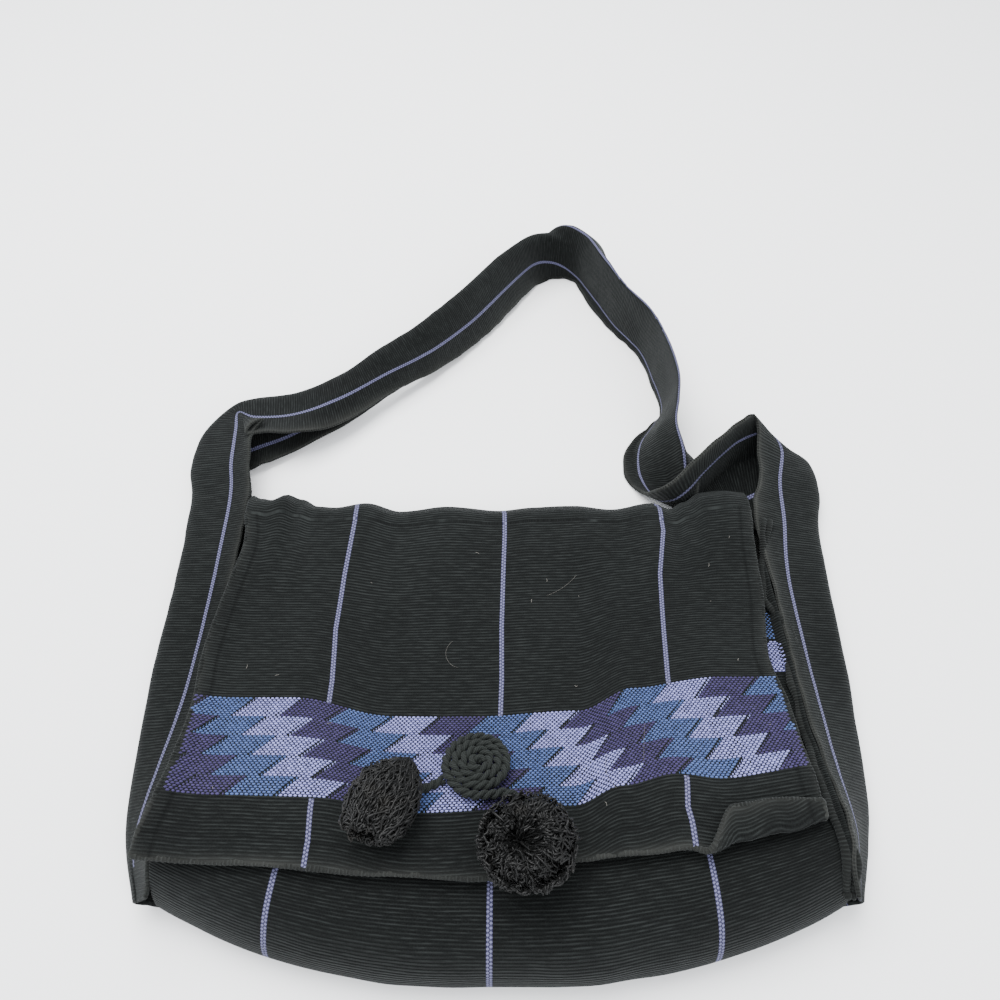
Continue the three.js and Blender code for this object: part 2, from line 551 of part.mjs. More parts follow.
// Domed disc whose top carries a spiral of cord: height = dome - groove, where the groove
// follows (radius / cord - angle / turn) from one turn to the next.
function coilGeometry() {
  const around = 32;
  const rings = 10;
  const rimShare = 0.98; // the dome ends just short of the table of the coil
  const radius = button.wide / 2;
  const points = [[0, 0, 0], [0, 0, button.rise]];
  for (let i = 1; i <= rings; i += 1) {
    const r = radius * i / rings;
    for (let k = 0; k < around; k += 1) {
      const angle = 2 * Math.PI * k / around;
      const phase = r / cordThick - k / around;
      const groove = coilGroove * Math.pow(Math.cos(Math.PI * phase), 8);
      const bulge = Math.sqrt(1 - rimShare * Math.pow(r / radius, 2));
      const dome = cordThick / 2 + (button.rise - cordThick / 2) * bulge;
      points.push([r * Math.cos(angle), r * Math.sin(angle), dome - groove]);
    }
  }
  const rimLow = points.length;
  for (let k = 0; k < around; k += 1) {
    const angle = 2 * Math.PI * k / around;
    points.push([radius * rimShare * Math.cos(angle), radius * rimShare * Math.sin(angle), 0]);
  }
  const index = [];
  for (let k = 0; k < around; k += 1) {
    const n = (k + 1) % around;
    index.push(1, 2 + k, 2 + n);
    for (let i = 0; i < rings - 1; i += 1) {
      const a = 2 + i * around;
      const b = a + around;
      index.push(a + k, b + k, b + n, a + k, b + n, a + n);
    }
    const top = 2 + (rings - 1) * around;
    index.push(top + k, rimLow + k, rimLow + n, top + k, rimLow + n, top + n);
    index.push(0, rimLow + n, rimLow + k);
  }
  const coil = new THREE.BufferGeometry();
  coil.setAttribute('position', new THREE.Float32BufferAttribute(points.flat(), 3));
  coil.setIndex(index);
  const low = cordThick / 2;
  const tail = new THREE.CatmullRomCurve3([
    new THREE.Vector3(radius - cordThick, -cordThick, low),
    new THREE.Vector3(radius - cordThick / 2, cordThick, low),
    new THREE.Vector3(radius + tailReach * 0.3, cordThick * 2.4, low),
    new THREE.Vector3(radius + tailReach * 0.75, cordThick * 2.6, low),
  ]);
  return fromSolid(toSolid(coil).add(toSolid(strandGeometry(tail, 6, 8, () => cordThick / 2))));
}

// A closed round strand along a curve: radius(t) at each ring, pointed ends.
function strandGeometry(curve, steps, sides, radius) {
  const frames = curve.computeFrenetFrames(steps, false);
  const points = [];
  for (let i = 0; i <= steps; i += 1) {
    const centre = curve.getPointAt(i / steps);
    const r = radius(i / steps);
    for (let k = 0; k < sides; k += 1) {
      const angle = 2 * Math.PI * k / sides;
      const p = centre
        .clone()
        .addScaledVector(frames.normals[i], r * Math.cos(angle))
        .addScaledVector(frames.binormals[i], r * Math.sin(angle));
      points.push(p.x, p.y, p.z);
    }
  }
  const first = points.length / 3;
  const start = curve.getPointAt(0);
  const end = curve.getPointAt(1);
  points.push(start.x, start.y, start.z, end.x, end.y, end.z);
  const index = [];
  for (let k = 0; k < sides; k += 1) {
    const n = (k + 1) % sides;
    for (let i = 0; i < steps; i += 1) {
      const a = i * sides;
      const b = a + sides;
      index.push(a + k, a + n, b + n, a + k, b + n, b + k);
    }
    index.push(first, n, k);
    index.push(first + 1, steps * sides + k, steps * sides + n);
  }
  const geometry = new THREE.BufferGeometry();
  geometry.setAttribute('position', new THREE.Float32BufferAttribute(points, 3));
  geometry.setIndex(index);
  return geometry;
}

const wasm = await Module();
wasm.setup();

function toSolid(geometry) {
  const bare = geometry.clone();
  bare.deleteAttribute('normal');
  bare.deleteAttribute('uv');
  const merged = mergeVertices(bare, 1e-4);
  return new wasm.Manifold(new wasm.Mesh({
    numProp: 3,
    vertProperties: new Float32Array(merged.attributes.position.array),
    triVerts: new Uint32Array(merged.index.array),
  }));
}

// The outer skin of a solid: pockets sealed between strands are left out, so they are full.
function fromSolid(solid) {
  const mesh = solid.getMesh();
  const tris = mesh.triVerts;
  const owner = Array.from({ length: mesh.vertProperties.length / 3 }, (_, k) => k);
  const find = (k) => {
    let root = k;
    while (owner[root] !== root) {
      root = owner[root];
    }
    owner[k] = root;
    return root;
  };
  for (let k = 0; k < tris.length; k += 3) {
    owner[find(tris[k + 1])] = find(tris[k]);
    owner[find(tris[k + 2])] = find(tris[k]);
  }
  const counts = new Map();
  for (const v of tris) {
    counts.set(find(v), (counts.get(find(v)) ?? 0) + 1);
  }
  const largest = [...counts.entries()].sort((p, q) => q[1] - p[1])[0][0];
  const kept = [];
  for (let k = 0; k < tris.length; k += 3) {
    if (find(tris[k]) === largest) {
      kept.push(tris[k], tris[k + 1], tris[k + 2]);
    }
  }
  const geometry = new THREE.BufferGeometry();
  geometry.setAttribute('position', new THREE.Float32BufferAttribute(mesh.vertProperties, 3));
  geometry.setIndex(kept);
  return geometry;
}

// Left tassel: locks fold out of a small head and hang along +X, curling at their ends.
function leanTassel(size) {
  const headLong = size.long * 0.3;
  const head = new THREE.SphereGeometry(0.5, 12, 8);
  head.scale(headLong * 2, size.wide * 0.5, size.thick * 0.8);
  head.translate(headLong, 0, size.thick / 2);
  const neck = new THREE.CatmullRomCurve3([
    new THREE.Vector3(-neckLong, 0, cordThick / 2),
    new THREE.Vector3(0, 0, cordThick * 0.7),
    new THREE.Vector3(headLong, 0, size.thick / 2),
  ]);
  let solid = toSolid(head).add(toSolid(strandGeometry(neck, 4, 8, () => cordThick / 2)));
  const core = new THREE.SphereGeometry(0.5, 12, 8);
  core.scale(size.long * 0.72, size.wide * 0.8, size.thick * 0.78);
  core.translate(size.long * 0.6, 0, size.thick / 2);
  solid = solid.add(toSolid(core));
  const locks = 16;
  for (let k = 0; k < locks; k += 1) {
    const angle = 2 * Math.PI * k / locks;
    const reach = size.long * (0.9 + 0.07 * Math.sin(5 * angle));
    const ring = (share) => [
      (size.wide - lockThick) / 2 * share * Math.cos(angle),
      size.thick / 2 + (size.thick - lockThick) / 2 * share * Math.sin(angle),
    ];
    const curve = new THREE.CatmullRomCurve3([
      new THREE.Vector3(size.long * 0.12, ...ring(0.25)),
      new THREE.Vector3(size.long * 0.4, ...ring(0.8)),
      new THREE.Vector3(size.long * 0.72, ...ring(1)),
      new THREE.Vector3(reach, ...ring(0.82)),
    ]);
    const girth = (t) => lockThick / 2 * (0.75 + 0.4 * t - 0.35 * t * t);
    solid = solid.add(toSolid(strandGeometry(curve, 4, 5, girth)));
  }
  return fromSolid(solid);
}

// Right tassel: locks spring from a flat head, arch outward and curl over a hollow middle.
function roundTassel(size) {
  const head = new THREE.SphereGeometry(0.5, 12, 8);
  head.scale(size.wide * 0.78, size.long * 0.78, size.thick * 0.62);
  head.translate(0, 0, size.thick * 0.36);
  let solid = toSolid(head);
  const locks = 16;
  for (let k = 0; k < locks; k += 1) {
    const angle = 2 * Math.PI * k / locks;
    const swell = 0.94 + 0.06 * Math.sin(3 * angle + 1);
    const place = (share, height) => new THREE.Vector3(
      size.wide / 2 * share * Math.cos(angle),
      size.long / 2 * share * Math.sin(angle),
      size.thick * height,
    );
    const curve = new THREE.CatmullRomCurve3([
      place(0.5, 0.18),
      place(0.8 * swell, 0.32),
      place(0.86 * swell, 0.62),
      place(0.62, 0.86),
      place(0.4, 0.78),
    ]);
    const girth = (t) => lockThick / 2 * (0.95 + 0.5 * t - 0.5 * t * t);
    solid = solid.add(toSolid(strandGeometry(curve, 4, 5, girth)));
  }
  return fromSolid(solid);
}

// Puts a piece on the flap's slope at a place, turned about its own upright.
function layOnFlap(mesh, { x, y, turn, lift }) {
  const under = flapUnder(y);
  const holder = new THREE.Group();
  mesh.rotation.z = THREE.MathUtils.degToRad(turn);
  holder.rotation.x = Math.atan(under.slope);
  holder.position.set(x, y, under.z + layGap + lift);
  holder.add(mesh);
  return holder;
}

function material(colour, roughness) {
  return new THREE.MeshStandardMaterial({ color: colour, roughness, metalness: 0 });
}

function piece(name, geometry, look) {
  const mesh = new THREE.Mesh(geometry, look);
  mesh.name = name;
  return mesh;
}

const clothLook = material(0x2a2d2d, 0.9);
const cordLook = material(0x2c302f, 0.8);
const threadLook = material(0x141516, 0.85);

const bag = new THREE.Group();
bag.add(piece('body_cloth', bodyGeometry(), clothLook));
bag.add(piece('gusset_strap', bandGeometry(), clothLook));
bag.add(layOnFlap(piece('coil_button', coilGeometry(), cordLook), button));
bag.add(layOnFlap(piece('tassel_left', leanTassel(leftTassel), threadLook), leftTassel));
bag.add(layOnFlap(piece('tassel_right', roundTassel(rightTassel), threadLook), rightTassel));

// The origin is under the middle of the whole, on the table.
const box = new THREE.Box3().setFromObject(bag, true);
bag.position.set(-(box.min.x + box.max.x) / 2, -(box.min.y + box.max.y) / 2, -box.min.z);

export default bag;
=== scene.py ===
import math

import bpy
import numpy as np
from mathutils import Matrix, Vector


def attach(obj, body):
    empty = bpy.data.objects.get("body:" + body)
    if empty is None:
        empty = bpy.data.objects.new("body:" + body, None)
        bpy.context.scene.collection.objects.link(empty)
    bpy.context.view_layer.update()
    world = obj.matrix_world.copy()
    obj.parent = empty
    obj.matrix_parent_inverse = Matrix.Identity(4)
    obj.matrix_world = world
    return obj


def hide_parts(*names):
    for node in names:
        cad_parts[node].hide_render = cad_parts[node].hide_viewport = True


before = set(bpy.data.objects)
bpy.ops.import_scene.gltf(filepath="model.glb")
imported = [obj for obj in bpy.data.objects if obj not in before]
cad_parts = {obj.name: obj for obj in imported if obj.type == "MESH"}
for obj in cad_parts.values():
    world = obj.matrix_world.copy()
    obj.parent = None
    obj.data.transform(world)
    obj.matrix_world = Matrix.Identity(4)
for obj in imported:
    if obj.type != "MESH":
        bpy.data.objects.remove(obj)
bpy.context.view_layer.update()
print("bag: frame loaded")

# Lengths here are millimetres in the bag's own frame: X across, Y from the bottom edge
# toward the strap, Z up. toRow moves that frame to the row's, and mm makes it metres.
toRow = np.array([0.0, -276.6, 0.0])
mm = 0.001
fullTurn = 2 * math.pi

body = {
    "wide": 336.0,
    "long": 264.0,
    "deep": 38.0,
    "cloth": 1.9,
    "sag": 34.0,
    "bow": 2.4,
    "flapLong": 206.0,
    "hemTurn": 12.0,
    "hemBend": 2.2,
    "ridge": 6.0,
    "overSeam": 5.0,
    "topWave": 9.0,
    "hemSide": 7.5,  # width of the doubled hems, and what they add to half the wall
    "hemEnd": 11.0,
    "doubled": 0.42,
}
halfBody = body["wide"] / 2
backMid = 1.0

# The strip's rows, as shares of the sizes above: along, rise, bow, left, right, ridge.
panelRows = np.array([
    (0.88, 0.31, 0, -1, 1, 0.5),  # front hem
    (0.77, 0.33, 0, -1, 1, 1),
    (0.64, 0.35, 0, -1, 1, 1),
    (0.46, 0.47, 0.05, -1, 1, 1),
    (0.3, 0.74, 0.3, -1, 1, 1),  # swell
    (0.19, 0.9, 0.6, -1, 1, 1),
    (0.114, 0.94, 0.8, -1, 1, 0.9),
    (0.057, 0.86, 0.95, -1, 1, 0.6),  # brow of the bottom
    (0.02, 0.66, 1, -1, 1, 0.2),
    (0.004, 0.42, 1, -1, 1, 0),
    (0.004, 0.22, 1, -1, 1, 0),
    (0.022, 0.07, 1, -1, 1, 0),
    (0.06, 0, 0.95, -1, 1, 0),  # back
    (0.19, 0, 0.5, -1, 1, 0),
    (0.45, 0, 0, -1, 1, 0),
    (0.72, 0, 0, -1, 1, 0),
    (0.915, 0, 0, -1, 0.99, 0),
    (0.967, 0.06, 0, -0.99, 0.98, 0),  # top fold
    (0.996, 0.22, 0, -0.98, 0.975, 0),
    (1, 0.4, 0, -0.98, 0.97, 0),
    (0.982, 0.55, 0, -0.98, 0.97, 0),
])
# The flap's rows: along, rise, left, right, hem.
flapRows = np.array([
    (0.075, 0.62, -0.975, 0.965, 0),
    (0.16, 0.63, -0.955, 0.95, 0),
    (0.32, 0.6, -0.985, 0.943, 0),
    (0.5, 0.62, -1.003, 0.916, 0.05),
    (0.66, 0.7, -0.993, 0.94, 0.3),
    (0.8, 0.88, -0.996, 0.938, 0.6),
    (0.91, 1.06, -1.003, 0.94, 0.9),
    (1, 1.11, -1.02, 0.935, 1),
])
# How the hem wanders: x, drop, cloth beyond the line, share of it flipped up.
hemWander = np.array([
    (-1.05, -0.25, 1, 0),
    (-0.76, -0.15, 1, 0),
    (-0.33, 0.25, 1, 0),
    (-0.06, 0.45, 1, 0),
    (0.176, -0.25, 1, 0),
    (0.4, -0.5, 1, 0),
    (0.54, -0.7, 1, 0),
    (0.68, -0.15, 1.6, 1),
    (0.81, -0.5, 1.5, 1),
    (0.95, -0.95, 1, 1),
])
# How the top fold wanders: x, out.
topWander = np.array([
    (-1, 1.85), (-0.94, 1.4), (-0.9, 1.25), (-0.84, 1.85), (-0.8, 1.75), (-0.72, 0.9), (-0.65, 0.8),
    (-0.53, 1.2), (-0.39, 0.46), (-0.2, 0.93), (0, 0.45), (0.13, 0.8), (0.3, 0.95), (0.44, 0.65),
    (0.6, 1.12), (0.67, 0.55), (0.73, 1.2), (0.8, 2), (0.9, 2.15), (1, 2.1),
])
# Soft folds and dents of the flap: x, back, wide, long, rise.
flapDents = np.array([
    (-0.9, 0.02, 0.12, 0.1, 0.12),
    (-0.8, 0.03, 0.03, 0.12, -0.13),
    (-0.62, 0.06, 0.12, 0.16, 0.05),
    (-0.42, 0.3, 0.16, 0.3, -0.05),
    (0.1, 0.3, 0.3, 0.22, 0.05),
    (0.56, 0.3, 0.07, 0.5, 0.05),
    (0.88, 0.06, 0.1, 0.14, 0.1),
    (-0.15, 0.88, 0.14, 0.12, 0.04),
    (0.45, 0.72, 0.14, 0.14, 0.05),
])


# Uniform Catmull-Rom curve through the rows of a table, read at u from 0 to 1: the cubic
# whose slope at each row is half the step between its neighbours.
def smoothRead(rows, u):
    rows = np.asarray(rows, float)
    u = np.clip(np.asarray(u, float), 0, 1)
    last = len(rows) - 1
    place = u * last
    cell = np.minimum(place.astype(int), last - 1)
    t = (place - cell).reshape(u.shape + (1,) * (rows.ndim - 1))
    b, c = rows[cell], rows[cell + 1]
    a = np.where((cell > 0).reshape(t.shape), rows[np.maximum(cell - 1, 0)], 2 * b - c)
    d = np.where((cell + 2 <= last).reshape(t.shape), rows[np.minimum(cell + 2, last)], 2 * c - b)
    slope = (c - a) / 2
    bend = a - 2.5 * b + 2 * c - d / 2
    twist = (d - a) / 2 + 1.5 * (b - c)
    return b + t * (slope + t * (bend + t * twist))


# Eased step t*t*(3-2t) from row to row of a table sorted by its first column.
def readByX(table, x, column):
    keys = table[:, 0]
    cell = np.clip(np.searchsorted(keys, x, side="left") - 1, 0, len(keys) - 2)
    t = np.clip((x - keys[cell]) / (keys[cell + 1] - keys[cell]), 0, 1)
    ease = t * t * (3 - 2 * t)
    low, high = table[cell, column], table[cell + 1, column]
    return low + (high - low) * ease


# Sum of bells rise*exp(-dx^2-dy^2), one for each dent.
def dentSum(dents, x, back):
    dx = (x[..., None] - dents[:, 0]) / dents[:, 2]
    dy = (back[..., None] - dents[:, 1]) / dents[:, 3]
    return (dents[:, 4] * np.exp(-dx * dx - dy * dy)).sum(-1)


# A vector over its own length.
def unit(v):
    return v / np.maximum(np.linalg.norm(v, axis=-1, keepdims=True), 1e-9)


# Smooth value noise: a lattice of seeded random numbers read with eased steps, from -1 to 1.
def softNoise(x, y, seed):
    table = np.random.default_rng(seed).uniform(-1, 1, (64, 64))
    ix, iy = np.floor(x).astype(int), np.floor(y).astype(int)
    fx, fy = x - ix, y - iy
    fx, fy = fx * fx * (3 - 2 * fx), fy * fy * (3 - 2 * fy)
    g = lambda i, j: table[(ix + i) % 64, (iy + j) % 64]
    low = g(0, 0) * (1 - fx) + g(1, 0) * fx
    high = g(0, 1) * (1 - fx) + g(1, 1) * fx
    return low * (1 - fy) + high * fy


# The panels' middle surface: Y is the row's share of the length plus the bottom's bow
# sag*|x|^bow and the top's wander, Z the row's share of the depth plus the dents.
def panelPoint(u, c):
    u, c = np.broadcast_arrays(np.asarray(u, float), np.asarray(c, float))
    row = smoothRead(panelRows, u)
    along, rise, bow, left, right, ridge = np.moveaxis(row, -1, 0)
    share = left + (right - left) * (c + 1) / 2
    back = (1 - along) * body["long"] / body["flapLong"]
    top = np.clip((rise - 0.1) / 0.45, 0, 1) * (along > 0.9)
    lift = np.maximum(rise, 0) + dentSum(flapDents, share, back) * top
    edge = np.clip((c - 0.976) / 0.024, 0, 1) ** 2 * ridge * body["ridge"]
    crest = np.clip((along - 0.9) / 0.09, 0, 1)
    out = body["sag"] * np.minimum(np.abs(share), 1.1) ** body["bow"]
    y = body["long"] * along + bow * out + crest * body["topWave"] * readByX(topWander, share, 1)
    return np.stack([halfBody * share, y, backMid + body["deep"] * lift + edge], -1)


# The flap's middle surface from the top fold (0) to the hem line (1): it rides up over the
# left seam as the square of how far past it, and its hem end drops with hemWander.
def flapPoint(u, c):
    u, c = np.broadcast_arrays(np.asarray(u, float), np.asarray(c, float))
    row = smoothRead(flapRows, u)
    along, rise, left, right, hem = np.moveaxis(row, -1, 0)
    share = left + (right - left) * (c + 1) / 2
    drop = hem * body["hemTurn"] * readByX(hemWander, share, 1)
    over = np.maximum(0, (-share - 0.86) / 0.14)
    lift = body["overSeam"] * np.minimum(over * over, 1.3) * np.minimum(along * 4, 1)
    z = backMid + body["deep"] * (rise + dentSum(flapDents, share, along)) + lift
    crest = np.maximum(1 - along / 0.3, 0)
    wander = crest * body["topWave"] * readByX(topWander, share, 1)
    return np.stack([halfBody * share, body["long"] - body["flapLong"] * along - drop + wander, z], -1)


# The hem beyond its line: straight on for the flat share of its cloth, then round a half
# circle of radius hemBend and back over the flap.
def hemPoint(s, c):
    s, c = np.broadcast_arrays(np.asarray(s, float), np.asarray(c, float))
    line, before = flapPoint(np.ones_like(s), c), flapPoint(np.full_like(s, 0.97), c)
    ahead = line - before
    ahead[..., 0] = 0
    ahead = unit(ahead)
    up = np.stack([np.zeros_like(s), ahead[..., 2], -ahead[..., 1]], -1)
    share = line[..., 0] / halfBody
    cloth = body["hemTurn"] * readByX(hemWander, share, 2)
    flat = cloth * (1 - readByX(hemWander, share, 3))
    run = np.maximum(cloth * s - flat, 0)
    turn = np.minimum(run / body["hemBend"], math.pi)
    rest = run - turn * body["hemBend"]
    out = np.minimum(cloth * s, flat) + body["hemBend"] * np.sin(turn) - rest
    rise = body["hemBend"] * (1 - np.cos(turn))
    return line + ahead * out[..., None] + up * rise[..., None]


# Mesh from arrays: points in the bag's frame, faces as rows of indices.
def makeMesh(name, points, faces, uv=None, values=None):
    mesh = bpy.data.meshes.new(name)
    mesh.from_pydata(((points + toRow) * mm).tolist(), [], faces if isinstance(faces, list) else faces.tolist())
    if uv is not None:
        layer = mesh.uv_layers.new(name="cloth")
        loops = np.zeros(len(mesh.loops), np.int32)
        mesh.loops.foreach_get("vertex_index", loops)
        layer.data.foreach_set("uv", (np.asarray(uv)[loops] * mm).astype(np.float32).ravel())
    for key, value in (values or {}).items():
        value = np.asarray(value, np.float32)
        if value.ndim == 2:
            data = np.concatenate([value, np.ones((len(value), 1), np.float32)], 1)
            mesh.attributes.new(key, "FLOAT_COLOR", "POINT").data.foreach_set("color", data.ravel())
        else:
            mesh.attributes.new(key, "FLOAT", "POINT").data.foreach_set("value", value)
    mesh.polygons.foreach_set("use_smooth", np.ones(len(mesh.polygons), bool))
    mesh.update()
    piece = bpy.data.objects.new(name, mesh)
    bpy.context.scene.collection.objects.link(piece)
    return piece


# A finished piece gets its material, rides on the bag, and may stand for a CAD node.
def dress(piece, material, node=None):
    piece.data.materials.append(material)
    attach(piece, "root")
    if node:
        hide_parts(node)


# Unit normals of a grid of points: the cross product of the steps to the neighbours.
def gridNormals(grid):
    along = np.gradient(grid, axis=0)
    across = np.gradient(grid, axis=1)
    return unit(np.cross(along, across))


# Quads between the rows and columns of a grid, closed if the last column meets the first.
def gridFaces(rows, cols, closed=False):
    j = np.arange(cols if closed else cols - 1)
    i = np.arange(rows - 1)[:, None]
    a = i * cols + j
    b = i * cols + (j + 1) % cols
    return np.stack([a, b, b + cols, a + cols], -1).reshape(-1, 4)


# A closed wall about a grid: both skins stand half the wall off it along the normal, and
# the rim is rounded by one more ring, half a wall further out.
def wallPiece(name, grid, half, uv, values=None, normals=None):
    rows, cols = grid.shape[:2]
    normal = gridNormals(grid) if normals is None else normals
    half = np.broadcast_to(half, grid.shape[:2])[..., None]
    upper, lower = grid + normal * half, grid - normal * half
    down, across = np.arange(1, rows), np.arange(cols)
    i = np.concatenate([0 * across, down, 0 * across[1:] + rows - 1, down[-2::-1]])
    j = np.concatenate([across, 0 * down + cols - 1, across[-2::-1], 0 * down[1:]])
    inner = grid[np.clip(i, 1, rows - 2), np.clip(j, 1, cols - 2)]
    rim = grid[i, j] + unit(grid[i, j] - inner) * half[i, j]
    points = np.concatenate([upper.reshape(-1, 3), lower.reshape(-1, 3), rim])
    count = rows * cols
    top = gridFaces(rows, cols)[:, ::-1]
    under = top[:, ::-1] + count
    p = i * cols + j
    q = np.roll(p, -1)
    r = 2 * count + np.arange(len(p))
    t = np.roll(r, -1)
    sides = np.concatenate([np.stack([q, t, r, p], -1), np.stack([t, q + count, p + count, r], -1)])
    flatUv = uv.reshape(-1, 2)
    allUv = np.concatenate([flatUv, flatUv, flatUv[p]])
    allValues = {}
    for key, value in (values or {}).items():
        flat = value.reshape((count,) + value.shape[2:])
        allValues[key] = np.concatenate([flat, flat, flat[p]])
    return makeMesh(name, points, np.concatenate([top, under, sides]), allUv, allValues)


# Where the flap's woven features lie, as measured on its face: distance back from the top
# fold of the pattern band's two edges, over X; and X of the three stripes, over that distance.
pattern = {
    "upper": np.array([
        (-171, 129), (-114, 129), (-58, 140), (-9, 140), (43, 137), (74, 124), (124, 116), (165, 116),
    ], float),
    "lower": np.array([
        (-171, 185), (-140, 186), (-93, 187), (-40, 195), (36, 191), (62, 181), (89, 175), (111, 177), (165, 171),
    ], float),
    "edges": (134.0, 190.0),  # the same two edges in the cloth laid flat
    "rows": 5,
    "block": 26.0,  # width of one feather
    "slant": 1.03,  # how far a feather leans for its height
    "shift": 8.2,  # each row of feathers starts this much further right
    "start": -149.0,  # left foot of the first pale feather
    "pitch": (2.42, 1.26),  # floats along a row, and from row to row
    "dome": (1.2, 0.69, 0.62),  # a float's half length, half width and height
    "colours": {"blue": (0.066, 0.105, 0.25), "pale": (0.25, 0.255, 0.52), "purple": (0.046, 0.036, 0.1)},
}
stripeRows = np.array([  # back, left, centre, right
    (-10, -92, 3, 104),
    (23, -94, 3, 104),
    (51, -96, 2, 98),
    (85, -97, 1, 96),
    (118, -94.5, 1, 94),
    (177, -93.5, -1, 94),
    (191, -93, -2, 92),
    (205, -92, -3.5, 94),
    (224, -90, -5, 95),
])
stripeAt = (-97.0, 0.0, 97.0)


# Straight steps between the knots, one after another: the sum over the knots of
# clip((value-knot)/(next-knot), 0, 1) times the step of the target.
def remap(value, knots, targets):
    total = np.full(np.shape(value), float(targets[0]))
    total = total + np.minimum(value - knots[0], 0)
    for k in range(len(targets) - 1):
        span = np.maximum(knots[k + 1] - knots[k], 1e-6)
        total = total + np.clip((value - knots[k]) / span, 0, 1) * (targets[k + 1] - targets[k])
    return total + np.maximum(value - knots[-1], 0)


# The place in the cloth laid flat of a point of the flap, from its X and its distance back.
def flapCloth(x, back):
    upper = readByX(pattern["upper"], x, 1)
    lower = readByX(pattern["lower"], x, 1)
    along = remap(back, [np.zeros_like(x), upper, lower], [0.0, *pattern["edges"]])
    lines = [np.interp(back, stripeRows[:, 0], stripeRows[:, k]) for k in (1, 2, 3)]
    across = remap(x, lines, stripeAt)
    return across, along


panelStripes = np.array([  # share of the length, left, centre, right
    (0.0, -111, -5, 103),
    (0.35, -101, -4.5, 99),
    (0.9, -97, 0, 97),
])


# The same across the panels, where only the stripes are known.
def panelCloth(x, along):
    lines = [np.interp(along, panelStripes[:, 0], panelStripes[:, k]) for k in (1, 2, 3)]
    return remap(x, lines, stripeAt)


# Soft unevenness of the body cloth: two smooth noises of its flat place, in mm.
def clothLie(across, along):
    return softNoise(across / 38 + 7, along / 30 + 3, 4) * 0.7 + softNoise(across / 15, along / 18, 5) * 0.28


# Columns across the body: even in the middle, and closer in the last share of each side.
def bodyColumns(middle, edge):
    share = 0.085
    inner = np.linspace(-1 + share, 1 - share, middle)
    outer = 1 - share * (1 - np.linspace(0, 1, edge + 1)[1:])
    return np.concatenate([-outer[::-1], inner, outer])


